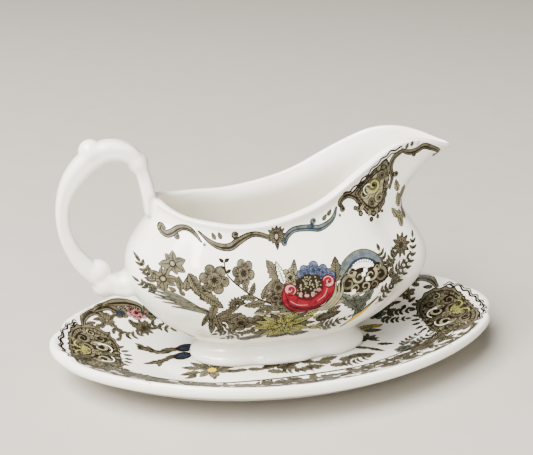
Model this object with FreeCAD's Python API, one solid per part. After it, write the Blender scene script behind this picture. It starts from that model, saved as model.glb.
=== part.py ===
"""Gravy boat on its oval stand, in glazed earthenware.

The boat (bowl, foot and handle) lifts straight off the stand (dish and foot ring).
Millimetres, +Z up. The origin is on the table under the middle of the stand, and the
spout points along +X. Every shell is a smooth cubic surface over a stack of closed
control rings, closed by flat faces.
"""
import FreeCAD, Part
import math
import os

# Stand, outside sizes
STAND_HALF_LENGTH = 112.5
STAND_HALF_WIDTH = 68.5
STAND_HEIGHT = 22.0
LIP_HEIGHT = 4.5            # how far the thick lip drops below the rim
NOTCH_DEPTH = 3.4           # four bracket notches, two at each end
NOTCH_ANGLE = 13.0          # degrees from the long axis
NOTCH_SPREAD = 3.6          # degrees
OUTLINE_POINT = 0.035       # how much the outline is more pointed than an ellipse
# Stand, well and foot ring
WELL_HALF_LENGTH = 61.0
WELL_HALF_WIDTH = 35.0
WELL_HEIGHT = 6.0
DISH_UNDERSIDE = 2.4
RING_HALF_LENGTH = 55.0
RING_HALF_WIDTH = 30.0
RING_WALL = 5.0
# Boat
FOOT_CLEARANCE = 0.1        # between the boat's foot and the well
FOOT_HALF_LENGTH = 43.6
FOOT_HALF_WIDTH = 18.4
FOOT_WALL = 5.5
FOOT_DIP = 0.10             # share of the foot's width lost at its four soft dips
WAIST_HEIGHT = 17.5
WALL = 3.8
FLOOR_HEIGHT = 22.0
VALLEY_DEPTH = 0.065        # share of the bowl's width lost between side and spout panels
TIP_THINNING = 0.5          # share of the wall lost at the tip of the spout
TIP_SPREAD = 16.0           # degrees
SPOUT_END = 86.0
RIM_HANDLE_END = -61.5
LIP_ROUND = 2.1

AROUND = 96                 # control points round every shell
HANDLE_AROUND = 16
HANDLE_STATIONS = 110

# Outer wall of the bowl, one row a level:
# (height at the ends, height at the sides, handle end x, spout end x, half width)
BOWL_LEVELS = [
    (17.5, 17.5, -41.0, 40.2, 16.8),
    (18.8, 18.8, -42.4, 41.8, 18.4),
    (22.2, 22.2, -47.6, 47.0, 23.4),
    (28.0, 28.0, -56.0, 54.8, 29.0),
    (34.5, 34.5, -63.6, 62.6, 33.4),
    (43.5, 43.0, -71.0, 72.0, 36.4),
    (52.5, 51.5, -74.6, 75.6, 37.8),
    (60.5, 58.5, -75.2, 74.6, 37.4),
    (68.5, 65.0, -73.2, 69.6, 35.4),
    (75.5, 71.0, -68.6, 64.0, 32.4),
    (81.5, 76.5, -64.2, 60.4, 29.9),
]
# Height of the rim along X
RIM_HEIGHTS = [
    (-62.0, 93.5), (-50.0, 88.5), (-36.0, 85.8), (-20.0, 84.5), (-2.0, 87.0), (16.0, 93.2),
    (34.0, 104.3), (50.0, 113.2), (62.0, 115.0), (74.0, 112.4), (87.0, 106.5),
]
# Half width of the rim over the sine of the angle round it, from spout to handle
RIM_WIDTHS = [(0.0, 14.0), (22.0, 17.4), (50.0, 18.2), (90.0, 27.2), (135.0, 33.6), (180.0, 29.0)]

# Middle line of the handle, (x, z), from its root in the rim to its root in the body
HANDLE_LINE = [
    (-62.6, 79.5), (-62.2, 86.5), (-62.2, 93.5), (-63.6, 100.0), (-65.2, 106.8), (-68.8, 113.6),
    (-75.6, 116.4), (-82.4, 116.2), (-89.2, 112.2), (-95.4, 105.8), (-100.0, 98.4), (-102.2, 90.4),
    (-102.4, 82.0), (-100.8, 74.0), (-97.4, 66.4), (-92.6, 59.4), (-86.2, 53.0), (-79.0, 49.2),
    (-70.4, 48.6),
]
# Half thickness of the handle in its own plane, and half width across, over its length from 0 to 1
HANDLE_THICKNESS = [(0.0, 2.2), (0.07, 3.2), (0.18, 3.3), (0.28, 4.4), (0.40, 5.0), (0.50, 4.7),
                    (0.60, 3.4), (0.68, 3.1), (0.78, 3.4), (0.86, 4.2), (0.93, 4.2), (1.0, 5.2)]
HANDLE_WIDTH = [(0.0, 6.4), (0.07, 6.2), (0.16, 4.9), (0.40, 5.2), (0.60, 4.3), (0.78, 4.4),
                (0.92, 5.2), (1.0, 6.8)]
# Moulded balls that swell out of the handle: (x, z, radius)
HANDLE_BALLS = [(-87.8, 116.6, 5.4), (-66.6, 109.4, 4.9), (-87.4, 57.6, 5.7), (-84.8, 50.4, 6.2)]
BALL_BLEND = 1.6            # how softly a ball runs into the handle


def along(anchors, position):
    """A smooth curve through a few (position, value) anchors."""
    count = len(anchors)
    span = 0
    while span < count - 2 and position > anchors[span + 1][0]:
        span += 1
    slopes = []
    for near in (span, span + 1):
        low = anchors[max(near - 1, 0)]
        high = anchors[min(near + 1, count - 1)]
        slopes.append((high[1] - low[1]) / (high[0] - low[0]))
    (start, first), (end, last) = anchors[span], anchors[span + 1]
    width = end - start
    t = min(max((position - start) / width, 0.0), 1.0)
    return (first * (1 + 2 * t) * (1 - t) ** 2 + slopes[0] * width * t * (1 - t) ** 2
            + last * t * t * (3 - 2 * t) + slopes[1] * width * t * t * (t - 1))


def bump(angle, centre, spread):
    """A smooth bump of height 1 at an angle, all in degrees."""
    away = (angle - centre + 180.0) % 360.0 - 180.0
    return math.exp(-(away / spread) ** 2)


def bumps(angle, centre, spread):
    """The same bump mirrored to both sides and both ends."""
    return sum(bump(angle, place, spread)
               for place in (centre, -centre, 180.0 - centre, 180.0 + centre))


def spline_point(points, share):
    """A point of the clamped cubic B-spline over control points, and its direction."""
    knots, mults = clamped_knots(len(points))
    curve = Part.BSplineCurve()
    curve.buildFromPolesMultsKnots(points, mults, knots, False, 3)
    place = share * knots[-1]
    return curve.value(place), curve.tangent(place)[0]


def angles():
    return [360.0 * step / AROUND for step in range(AROUND)]


# ---------------------------------------------------------------- surfaces

def clamped_knots(pole_count, degree=3):
    spans = pole_count - degree
    knots = [float(step) for step in range(spans + 1)]
    mults = [degree + 1] + [1] * (spans - 1) + [degree + 1]
    return knots, mults


def ring_face(rings):
    """One smooth face over a stack of closed control rings."""
    knots, mults = clamped_knots(len(rings))
    round_count = len(rings[0])
    surface = Part.BSplineSurface()
    surface.buildFromPolesMultsKnots(
        rings, mults, [1] * (round_count + 1), knots,
        [float(step) for step in range(round_count + 1)], False, True, 3, 3)
    return surface.toShape()


def end_wires(face):
    """The closed edges of a ring face, at its first and its last ring."""
    closed = [edge for edge in face.Edges if edge.isClosed()]
    first_point = face.Surface.value(0.0, 0.0)
    closed.sort(key=lambda edge: edge.distToShape(Part.Vertex(first_point))[0])
    return Part.Wire([closed[0]]), Part.Wire([closed[-1]])


def solid_from(faces):
    shell = Part.makeShell(faces)
    shell.sewShape()
    solid = Part.makeSolid(shell)
    if solid.Volume < 0:
        solid.reverse()
    return solid


def cup_solid(rings):
    """A solid whose skin is one ring face and a flat cap at each end."""
    face = ring_face(rings)
    first, last = end_wires(face)
    return solid_from([face, Part.Face(first), Part.Face(last)])


def tube_solid(outer_rings, inner_rings):
    """A ring-shaped solid with flat top and bottom faces."""
    outer = ring_face(outer_rings)
    inner = ring_face(inner_rings)
    flats = [Part.makeFace([around, hole], "Part::FaceMakerBullseye")
             for around, hole in zip(end_wires(outer), end_wires(inner))]
    return solid_from([outer, inner] + flats)


# ---------------------------------------------------------------- stand

def stand_ring(half_length, half_width, height, outline=0.0, notches=0.0):
    """A closed ring of the stand: a plain oval, or drawn to points and notched like the rim."""
    ring = []
    for angle in angles():
        turn = math.radians(angle)
        reach = 1.0 - OUTLINE_POINT * outline * (1.0 - math.cos(4.0 * turn)) / 2.0
        notch = NOTCH_DEPTH * notches * bumps(angle, NOTCH_ANGLE, NOTCH_SPREAD)
        reach -= notch / half_length
        ring.append(FreeCAD.Vector(half_length * reach * math.cos(turn),
                                   half_width * reach * math.sin(turn), height))
    return ring


def dish_ring(spread, height, outline, notches):
    """A ring of the dish; spread is 0 at the edge of the well and 1 at the rim."""
    half_length = WELL_HALF_LENGTH + spread * (STAND_HALF_LENGTH - WELL_HALF_LENGTH)
    half_width = WELL_HALF_WIDTH + spread * (STAND_HALF_WIDTH - WELL_HALF_WIDTH)
    return stand_ring(half_length, half_width, height, outline, notches)


def stand_dish():
    top = STAND_HEIGHT
    low = WELL_HEIGHT
    lip_end = top - LIP_HEIGHT
    upper = [(-0.06, low, 0, 0), (-0.02, low, 0, 0), (0.02, low + 0.1, 0, 0),
             (0.12, low + 1.4, 0, 0), (0.32, low + 4.0, 0.1, 0), (0.55, low + 7.6, 0.35, 0),
             (0.76, low + 11.6, 0.65, 0.3), (0.89, top - 1.6, 0.9, 0.8),
             (0.935, top + 0.2, 1, 1), (0.965, top + 0.6, 1, 1)]
    lip = [(1.0, top + 0.3, 1, 1), (1.015, top - 1.8, 1, 0.7), (1.0, lip_end, 1, 0.3),
           (0.955, lip_end - 1.0, 0.9, 0.1)]
    under = [(0.85, top - 8.0, 0.7, 0), (0.68, top - 12.0, 0.4, 0), (0.45, low, 0.15, 0),
             (0.22, 3.4, 0, 0), (0.06, DISH_UNDERSIDE, 0, 0), (0.0, DISH_UNDERSIDE, 0, 0)]
    return cup_solid([dish_ring(*row) for row in upper + lip + under])


def stand_foot_ring():
    edge = 0.9
    outer = [(0.0, DISH_UNDERSIDE), (0.0, 1.4), (0.0, 0.5), (edge * 0.4, 0.0), (edge, 0.0)]
    inner = [(RING_WALL, DISH_UNDERSIDE), (RING_WALL, 1.4), (RING_WALL, 0.5),
             (RING_WALL - edge * 0.4, 0.0), (RING_WALL - edge, 0.0)]
    sides = []
    for rows in (outer, inner):
        sides.append([stand_ring(RING_HALF_LENGTH - inset, RING_HALF_WIDTH - inset, height)
                      for inset, height in rows])
    return tube_solid(sides[0], sides[1])


# ---------------------------------------------------------------- boat

def foot_ring(inset, height):
    """A ring of the boat's foot, with a soft dip each side of the middle."""
    ring = []
    for angle in angles():
        turn = math.radians(angle)
        swell = 1.0 + 0.05 * (1.0 - math.cos(4.0 * turn)) / 2.0
        swell -= FOOT_DIP * bumps(angle, 66.0, 7.5)
        ring.append(FreeCAD.Vector((FOOT_HALF_LENGTH - inset) * swell * math.cos(turn),
                                   (FOOT_HALF_WIDTH - inset) * swell * math.sin(turn), height))
    return ring


def level_ring(ends_height, sides_height, handle_end, spout_end, half_width):
    """A ring of the bowl's outer wall, with a soft valley between side and end panels."""
    middle = (spout_end + handle_end) / 2.0
    reach = (spout_end - handle_end) / 2.0
    depth = VALLEY_DEPTH * min(max((ends_height - WAIST_HEIGHT) / 20.0, 0.0), 1.0)
    ring = []
    for angle in angles():
        turn = math.radians(angle)
        swell = 1.0 + 0.07 * (1.0 - math.cos(4.0 * turn)) / 2.0
        swell -= depth * (bump(angle, 41.0, 10.0) + bump(angle, -41.0, 10.0))
        swell -= 0.6 * depth * (bump(angle, 136.0, 10.0) + bump(angle, -136.0, 10.0))
        height = sides_height + (ends_height - sides_height) * math.cos(turn) ** 2
        ring.append(FreeCAD.Vector(middle + reach * swell * math.cos(turn),
                                   half_width * swell * math.sin(turn), height))
    return ring


def thinning(angle):
    """How much of the full wall is left, from 1 round the bowl to less at the spout's tip."""
    return 1.0 - TIP_THINNING * bump(angle, 0.0, TIP_SPREAD)


def rim_ring():
    """The top of the outer wall, where the lip starts to round over."""
    middle = (SPOUT_END + RIM_HANDLE_END) / 2.0
    reach = (SPOUT_END - RIM_HANDLE_END) / 2.0
    ring = []
    for angle in angles():
        turn = math.radians(angle)
        x = middle + reach * math.cos(turn)
        y = along(RIM_WIDTHS, min(angle, 360.0 - angle)) * math.sin(turn)
        drop = LIP_ROUND * thinning(angle)
        ring.append(FreeCAD.Vector(x, y, along(RIM_HEIGHTS, x) - drop))
    return ring


def wall_ends(neck, below, rim):
    """Where the wall heads at the neck and at the rim, for each point round the bowl."""
    leaving = []
    arriving = []
    for angle, low, start, end in zip(angles(), below, neck, rim):
        spout = bump(angle, 0.0, 30.0)
        rise = end.z - start.z
        up = (start - low).normalize()
        leaving.append(start + (up * (1.0 - spout) + FreeCAD.Vector(0, 0, 1) * spout) * rise * 0.34)
        outward = FreeCAD.Vector(end.x, end.y * 2.0, 0).normalize()
        flare = outward * 0.10 * rise + FreeCAD.Vector(0, 0, 1) * rise * 0.30
        lead = FreeCAD.Vector(12.5, 0, 1.5)
        arriving.append(end - (flare * (1.0 - spout) + lead * spout))
    return leaving, arriving


def bezier_ring(share, start, leaving, arriving, end):
    weights = ((1 - share) ** 3, 3 * share * (1 - share) ** 2, 3 * share ** 2 * (1 - share), share ** 3)
    return [a * weights[0] + b * weights[1] + c * weights[2] + d * weights[3]
            for a, b, c, d in zip(start, leaving, arriving, end)]


def inward(rings):
    """Unit vectors from the outer wall towards the inside, for each control point."""
    result = []
    for row, ring in enumerate(rings):
        low = rings[max(row - 1, 0)]
        high = rings[min(row + 1, len(rings) - 1)]
        normals = []
        for step in range(AROUND):
            round_way = ring[(step + 1) % AROUND] - ring[step - 1]
            up_way = high[step] - low[step]
            normals.append(up_way.cross(round_way).normalize())
        result.append(normals)
    return result


def bowl_rings():
    outer = [level_ring(*level) for level in BOWL_LEVELS]
    rim = rim_ring()
    leaving, arriving = wall_ends(outer[-1], outer[-2], rim)
    neck = outer[-1]
    outer += [bezier_ring(share, neck, leaving, arriving, rim) for share in (0.25, 0.5, 0.75)]
    outer.append(rim)
    normals = inward(outer)
    shares = [thinning(angle) for angle in angles()]
    inner = [[point + normal * WALL * share for point, normal, share in zip(ring, side, shares)]
             for ring, side in zip(outer, normals)]
    tips = [(end - before).normalize() * LIP_ROUND * share
            for end, before, share in zip(rim, arriving, shares)]
    lip = [[point + tip for point, tip in zip(side, tips)] for side in (outer[-1], inner[-1])]
    floor = [[FreeCAD.Vector(point.x * shrink, point.y * shrink, FLOOR_HEIGHT) for point in outer[1]]
             for shrink in (1.0, 0.86)]
    return outer + lip + inner[:2:-1] + floor


def bowl():
    return cup_solid(bowl_rings())


def foot():
    base = WELL_HEIGHT + FOOT_CLEARANCE
    outer = [(2.0, base), (0.8, base), (-0.9, base + 0.7), (-1.5, base + 2.8),
             (-0.5, base + 5.0), (2.4, base + 7.0), (3.7, base + 9.4), (3.3, WAIST_HEIGHT)]
    inner = [(FOOT_WALL - 1.0, base), (FOOT_WALL, base + 0.2), (FOOT_WALL + 0.6, base + 1.6),
             (FOOT_WALL + 1.2, base + 4.0), (FOOT_WALL + 1.6, base + 8.0),
             (FOOT_WALL + 1.6, WAIST_HEIGHT)]
    sides = [[foot_ring(inset, height) for inset, height in rows] for rows in (outer, inner)]
    return tube_solid(sides[0], sides[1])


def swollen(point):
    """A point of the handle, pushed out where it lies inside one of the moulded balls."""
    for x, z, radius in HANDLE_BALLS:
        away = point - FreeCAD.Vector(x, 0, z)
        gap = radius - away.Length
        near = max(BALL_BLEND - abs(gap), 0.0) / BALL_BLEND
        point = point + away.normalize() * (max(gap, 0.0) + near * near * BALL_BLEND / 4.0)
    return point


def handle_rings():
    line = [FreeCAD.Vector(x, 0, z) for x, z in HANDLE_LINE]
    rings = []
    for station in range(HANDLE_STATIONS):
        share = station / (HANDLE_STATIONS - 1)
        centre, way = spline_point(line, share)
        out = FreeCAD.Vector(way.z, 0, -way.x)
        thickness = along(HANDLE_THICKNESS, share)
        width = along(HANDLE_WIDTH, share)
        ring = []
        for part in range(HANDLE_AROUND):
            turn = 2.0 * math.pi * part / HANDLE_AROUND
            swell = 1.08 - 0.08 * math.cos(4.0 * turn)
            place = centre + out * thickness * swell * math.cos(turn)
            ring.append(swollen(place + FreeCAD.Vector(0, width * swell * math.sin(turn), 0)))
        rings.append(ring)
    return rings


def handle(bowl_solid):
    whole = cup_solid(handle_rings())
    outside = whole.cut(bowl_solid)
    return max(outside.Solids, key=lambda piece: piece.Volume)


os.makedirs("parts", exist_ok=True)
bowl_shape = bowl()
shapes = {
    "bowl": bowl_shape,
    "foot": foot(),
    "handle": handle(bowl_shape),
    "stand_dish": stand_dish(),
    "stand_foot_ring": stand_foot_ring(),
}
for name, shape in shapes.items():
    box = shape.BoundBox
    corners = (box.XMin, box.XMax, box.YMin, box.YMax, box.ZMin, box.ZMax)
    print(name, "valid", shape.isValid(), "volume %.0f" % shape.Volume,
          "x %.1f %.1f y %.1f %.1f z %.1f %.1f" % corners)
    shape.exportStep("parts/%s.step" % name)
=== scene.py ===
"""Looks of the gravy boat and its stand: smooth glazed shells, moulded handle and printed flowers.

Shapes are worked out in millimetres, in the frame of the CAD model, and scaled to metres
when each mesh is made. The print is drawn flat, as ribbons and discs of ink, and then laid
on the glaze as thin closed films.
"""

import cmath
import math
import random

import bpy
import numpy as np
from mathutils import Matrix, Vector
from mathutils.bvhtree import BVHTree


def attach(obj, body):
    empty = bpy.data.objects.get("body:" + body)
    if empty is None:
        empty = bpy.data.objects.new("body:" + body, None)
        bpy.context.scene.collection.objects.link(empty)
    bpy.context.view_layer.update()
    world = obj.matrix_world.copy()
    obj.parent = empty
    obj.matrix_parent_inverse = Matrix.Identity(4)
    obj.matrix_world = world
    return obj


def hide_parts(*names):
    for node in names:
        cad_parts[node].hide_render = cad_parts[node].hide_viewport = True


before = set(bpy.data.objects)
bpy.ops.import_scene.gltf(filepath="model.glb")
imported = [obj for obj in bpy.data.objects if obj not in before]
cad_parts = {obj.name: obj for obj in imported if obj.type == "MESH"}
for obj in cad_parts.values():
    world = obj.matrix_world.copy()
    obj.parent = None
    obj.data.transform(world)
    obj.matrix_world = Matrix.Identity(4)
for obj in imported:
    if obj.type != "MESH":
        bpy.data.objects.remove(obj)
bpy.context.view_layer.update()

MM = 0.001

# ---------------------------------------------------------------- sizes, as in the CAD model

STAND_HALF_LENGTH = 112.5
STAND_HALF_WIDTH = 68.5
STAND_HEIGHT = 22.0
LIP_HEIGHT = 4.5
NOTCH_DEPTH = 3.4
NOTCH_ANGLE = 13.0
NOTCH_SPREAD = 3.6
OUTLINE_POINT = 0.035
WELL_HALF_LENGTH = 61.0
WELL_HALF_WIDTH = 35.0
WELL_HEIGHT = 6.0
DISH_UNDERSIDE = 2.4
RING_HALF_LENGTH = 55.0
RING_HALF_WIDTH = 30.0
RING_WALL = 5.0
FOOT_CLEARANCE = 0.1
FOOT_HALF_LENGTH = 43.6
FOOT_HALF_WIDTH = 18.4
FOOT_WALL = 5.5
FOOT_DIP = 0.10
WAIST_HEIGHT = 17.5
WALL = 3.8
FLOOR_HEIGHT = 22.0
VALLEY_DEPTH = 0.065
SPOUT_END = 86.0
TIP_THINNING = 0.5
TIP_SPREAD = 16.0
RIM_HANDLE_END = -61.5
LIP_ROUND = 2.1
AROUND = 96

# (height at the ends, height at the sides, handle end x, spout end x, half width)
BOWL_LEVELS = [
    (17.5, 17.5, -41.0, 40.2, 16.8),
    (18.8, 18.8, -42.4, 41.8, 18.4),
    (22.2, 22.2, -47.6, 47.0, 23.4),
    (28.0, 28.0, -56.0, 54.8, 29.0),
    (34.5, 34.5, -63.6, 62.6, 33.4),
    (43.5, 43.0, -71.0, 72.0, 36.4),
    (52.5, 51.5, -74.6, 75.6, 37.8),
    (60.5, 58.5, -75.2, 74.6, 37.4),
    (68.5, 65.0, -73.2, 69.6, 35.4),
    (75.5, 71.0, -68.6, 64.0, 32.4),
    (81.5, 76.5, -64.2, 60.4, 29.9),
]
RIM_HEIGHTS = [
    (-62.0, 93.5), (-50.0, 88.5), (-36.0, 85.8), (-20.0, 84.5), (-2.0, 87.0), (16.0, 93.2),
    (34.0, 104.3), (50.0, 113.2), (62.0, 115.0), (74.0, 112.4), (87.0, 106.5),
]
RIM_WIDTHS = [(0.0, 14.0), (22.0, 17.4), (50.0, 18.2), (90.0, 27.2), (135.0, 33.6), (180.0, 29.0)]
HANDLE_LINE = [
    (-62.6, 79.5), (-62.2, 86.5), (-62.2, 93.5), (-63.6, 100.0), (-65.2, 106.8), (-68.8, 113.6),
    (-75.6, 116.4), (-82.4, 116.2), (-89.2, 112.2), (-95.4, 105.8), (-100.0, 98.4), (-102.2, 90.4),
    (-102.4, 82.0), (-100.8, 74.0), (-97.4, 66.4), (-92.6, 59.4), (-86.2, 53.0), (-79.0, 49.2),
    (-70.4, 48.6),
]
HANDLE_THICKNESS = [(0.0, 2.2), (0.07, 3.2), (0.18, 3.3), (0.28, 4.4), (0.40, 5.0), (0.50, 4.7),
                    (0.60, 3.4), (0.68, 3.1), (0.78, 3.4), (0.86, 4.2), (0.93, 4.2), (1.0, 5.2)]
HANDLE_WIDTH = [(0.0, 6.4), (0.07, 6.2), (0.16, 4.9), (0.40, 5.2), (0.60, 4.3), (0.78, 4.4),
                (0.92, 5.2), (1.0, 6.8)]
# Moulded balls that swell out of the handle: (x, z, radius)
HANDLE_BALLS = [(-87.8, 116.6, 5.4), (-66.6, 109.4, 4.9), (-87.4, 57.6, 5.7), (-84.8, 50.4, 6.2)]
BALL_BLEND = 1.6

ROUND_SAMPLES = 288
ROWS_PER_RING = 6
# Size of the flat fill of an open end, next to that end
CAP_INSET = 0.97

# Ink film: its underside and top from the glaze, and the rise for each level of overprint
FILM_BOTTOM = -0.03
FILM_TOP = 0.03
FILM_STEP = 0.013
# How far out the flat print lies before it is thrown onto the glaze
STANDOFF = 90.0

# The wearing edge below this height is bare; in metres
BARE_HEIGHT = 0.0006


# ---------------------------------------------------------------- curves and rings

def along(anchors, position):
    """A smooth curve through a few (position, value) anchors."""
    count = len(anchors)
    span = 0
    while span < count - 2 and position > anchors[span + 1][0]:
        span += 1
    slopes = []
    for near in (span, span + 1):
        low = anchors[max(near - 1, 0)]
        high = anchors[min(near + 1, count - 1)]
        slopes.append((high[1] - low[1]) / (high[0] - low[0]))
    (start, first), (end, last) = anchors[span], anchors[span + 1]
    width = end - start
    t = min(max((position - start) / width, 0.0), 1.0)
    return (first * (1 + 2 * t) * (1 - t) ** 2 + slopes[0] * width * t * (1 - t) ** 2
            + last * t * t * (3 - 2 * t) + slopes[1] * width * t * t * (t - 1))


DEGREES = np.arange(AROUND) * 360.0 / AROUND
TURNS = np.radians(DEGREES)


def bump(centre, spread):
    """A smooth bump of height 1 at an angle, at every control point of a ring."""
    away = (DEGREES - centre + 180.0) % 360.0 - 180.0
    return np.exp(-(away / spread) ** 2)


def bumps(centre, spread):
    """The same bump mirrored to both sides and both ends."""
    return sum(bump(place, spread) for place in (centre, -centre, 180.0 - centre, 180.0 + centre))


def ring_of(x, y, z):
    """Control points of a ring from their coordinates; the height may be one number."""
    return np.stack([x, y, np.broadcast_to(z, x.shape)], axis=-1)


def unit(vectors):
    return vectors / np.maximum(np.linalg.norm(vectors, axis=-1, keepdims=True), 1e-12)


def clamped_basis(count, places):
    """Weights of the control points of a clamped cubic B-spline at places from 0 to 1."""
    spans = count - 3
    knots = np.concatenate([[0.0] * 3, np.arange(spans + 1.0), [float(spans)] * 3])
    at = np.minimum(np.asarray(places) * spans, spans - 1e-9)[:, None]
    weights = ((knots[:-1] <= at) & (at < knots[1:])).astype(float)
    for degree in (1, 2, 3):
        rise = knots[degree:-1] - knots[:-degree - 1]
        fall = knots[degree + 1:] - knots[1:-degree]
        rising = (at - knots[:-degree - 1]) / np.where(rise > 0, rise, 1.0) * (rise > 0)
        falling = (knots[degree + 1:] - at) / np.where(fall > 0, fall, 1.0) * (fall > 0)
        weights = rising * weights[:, :-1] + falling * weights[:, 1:]
    return weights


def round_basis(count, samples):
    """Weights of the control points of a closed cubic B-spline at even places round it."""
    at = np.arange(samples) * count / samples
    step = np.floor(at).astype(int)
    part = at - step
    weights = np.zeros((samples, count))
    shares = ((1 - part) ** 3 / 6, (3 * part ** 3 - 6 * part ** 2 + 4) / 6,
              (-3 * part ** 3 + 3 * part ** 2 + 3 * part + 1) / 6, part ** 3 / 6)
    for offset, share in zip((-1, 0, 1, 2), shares):
        weights[np.arange(samples), (step + offset) % count] += share
    return weights


def surface(rings):
    """Points of the smooth surface over a stack of closed control rings, row by row."""
    stack = np.array(rings)
    rows = clamped_basis(len(stack), np.linspace(0, 1, ROWS_PER_RING * (len(stack) - 3) + 1))
    columns = round_basis(stack.shape[1], ROUND_SAMPLES)
    return np.einsum("rk,kcx,sc->rsx", rows, stack, columns)


def grid_normals(grid, side):
    """Unit normals of a grid that is closed round; side 1 or -1 picks which way they face."""
    up_way = np.gradient(grid, axis=0)
    round_way = np.roll(grid, -1, axis=1) - np.roll(grid, 1, axis=1)
    return unit(np.cross(round_way, up_way)) * side


# ---------------------------------------------------------------- meshes

def make_object(name, points, faces, normals):
    """A smooth mesh object in metres, with its own normals."""
    mesh = bpy.data.meshes.new(name)
    mesh.from_pydata((np.asarray(points) * MM).tolist(), [], faces)
    mesh.polygons.foreach_set("use_smooth", [True] * len(mesh.polygons))
    mesh.normals_split_custom_set_from_vertices(np.asarray(normals).tolist())
    mesh.update()
    piece = bpy.data.objects.new(name, mesh)
    bpy.context.scene.collection.objects.link(piece)
    return piece


def quads(rows, columns, side, joined_rows=False):
    """Four-sided faces over a grid that is closed round, and closed along too if joined_rows."""
    faces = []
    for row in range(rows if joined_rows else rows - 1):
        above = (row + 1) % rows
        for column in range(columns):
            after = (column + 1) % columns
            face = (row * columns + column, row * columns + after,
                    above * columns + after, above * columns + column)
            faces.append(face if side > 0 else face[::-1])
    return faces


def capped_object(name, grid, normals, side, first_up, last_up):
    """A closed piece: a grid of rings with both open ends filled flat, each facing up or down."""
    rows, normal_rows = list(grid), list(normals)
    for end, place, up in ((0, 0, first_up), (-1, len(rows) + 1, last_up)):
        ring = grid[end]
        middle = ring.mean(axis=0)
        rows.insert(place, middle + (ring - middle) * CAP_INSET)
        normal_rows.insert(place, np.tile([0.0, 0.0, up], (len(ring), 1)))
    points = np.concatenate(rows)
    count = len(grid[0])
    faces = quads(len(rows), count, side)
    first = list(range(count))
    last = list(range(len(points) - count, len(points)))
    faces.append(tuple(first[::-1] if side > 0 else first))
    faces.append(tuple(last if side > 0 else last[::-1]))
    return make_object(name, points, faces, np.concatenate(normal_rows))


def tube_object(name, outer, inner, outer_normals, side):
    """A closed ring-shaped piece from its outside rows and its inside rows."""
    grid = np.concatenate([outer, inner])
    normals = np.concatenate([outer_normals, grid_normals(inner, side)])
    return make_object(name, grid.reshape(-1, 3), quads(len(grid), grid.shape[1], side, True),
                       normals.reshape(-1, 3))


# ---------------------------------------------------------------- stand

def stand_ring(half_length, half_width, height, outline=0.0, notches=0.0):
    """An oval ring of the stand; outline and notches run from none at 0 to full at 1."""
    reach = 1.0 - OUTLINE_POINT * outline * (1.0 - np.cos(4.0 * TURNS)) / 2.0
    reach = reach - NOTCH_DEPTH * notches * bumps(NOTCH_ANGLE, NOTCH_SPREAD) / half_length
    return ring_of(half_length * reach * np.cos(TURNS), half_width * reach * np.sin(TURNS), height)


def dish_ring(spread, height, outline, notches):
    """A ring of the dish; spread is 0 at the edge of the well and 1 at the rim."""
    half_length = WELL_HALF_LENGTH + spread * (STAND_HALF_LENGTH - WELL_HALF_LENGTH)
    half_width = WELL_HALF_WIDTH + spread * (STAND_HALF_WIDTH - WELL_HALF_WIDTH)
    return stand_ring(half_length, half_width, height, outline, notches)


def make_dish():
    """The dish as one closed skin: over its top, round the lip and back underneath."""
    top = STAND_HEIGHT
    low = WELL_HEIGHT
    lip_end = top - LIP_HEIGHT
    upper = [(-0.06, low, 0, 0), (-0.02, low, 0, 0), (0.02, low + 0.1, 0, 0),
             (0.12, low + 1.4, 0, 0), (0.32, low + 4.0, 0.1, 0), (0.55, low + 7.6, 0.35, 0),
             (0.76, low + 11.6, 0.65, 0.3), (0.89, top - 1.6, 0.9, 0.8),
             (0.935, top + 0.2, 1, 1), (0.965, top + 0.6, 1, 1)]
    lip = [(1.0, top + 0.3, 1, 1), (1.015, top - 1.8, 1, 0.7), (1.0, lip_end, 1, 0.3),
           (0.955, lip_end - 1.0, 0.9, 0.1)]
    under = [(0.85, top - 8.0, 0.7, 0), (0.68, top - 12.0, 0.4, 0), (0.45, low, 0.15, 0),
             (0.22, 3.4, 0, 0), (0.06, DISH_UNDERSIDE, 0, 0), (0.0, DISH_UNDERSIDE, 0, 0)]
    grid = surface([dish_ring(*row) for row in upper + lip + under])
    return capped_object("stand_dish_glazed", grid, grid_normals(grid, -1), -1, 1.0, -1.0)


def make_stand_foot_ring():
    """The ring that the stand rests on, with a rounded wearing edge."""
    edge = 0.9
    outer = [(0.0, DISH_UNDERSIDE), (0.0, 1.4), (0.0, 0.5), (edge * 0.4, 0.0), (edge, 0.0)]
    inner = [(RING_WALL - edge, 0.0), (RING_WALL - edge * 0.4, 0.0), (RING_WALL, 0.5),
             (RING_WALL, 1.4), (RING_WALL, DISH_UNDERSIDE)]
    outside, inside = (surface([stand_ring(RING_HALF_LENGTH - inset, RING_HALF_WIDTH - inset, height)
                                for inset, height in rows]) for rows in (outer, inner))
    return tube_object("stand_foot_ring_glazed", outside, inside, grid_normals(outside, -1), -1)


# ---------------------------------------------------------------- boat

def foot_ring(inset, height):
    """A ring of the boat's foot, with a soft dip each side of the middle."""
    swell = 1.0 + 0.05 * (1.0 - np.cos(4.0 * TURNS)) / 2.0 - FOOT_DIP * bumps(66.0, 7.5)
    return ring_of((FOOT_HALF_LENGTH - inset) * swell * np.cos(TURNS),
                   (FOOT_HALF_WIDTH - inset) * swell * np.sin(TURNS), height)


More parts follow.
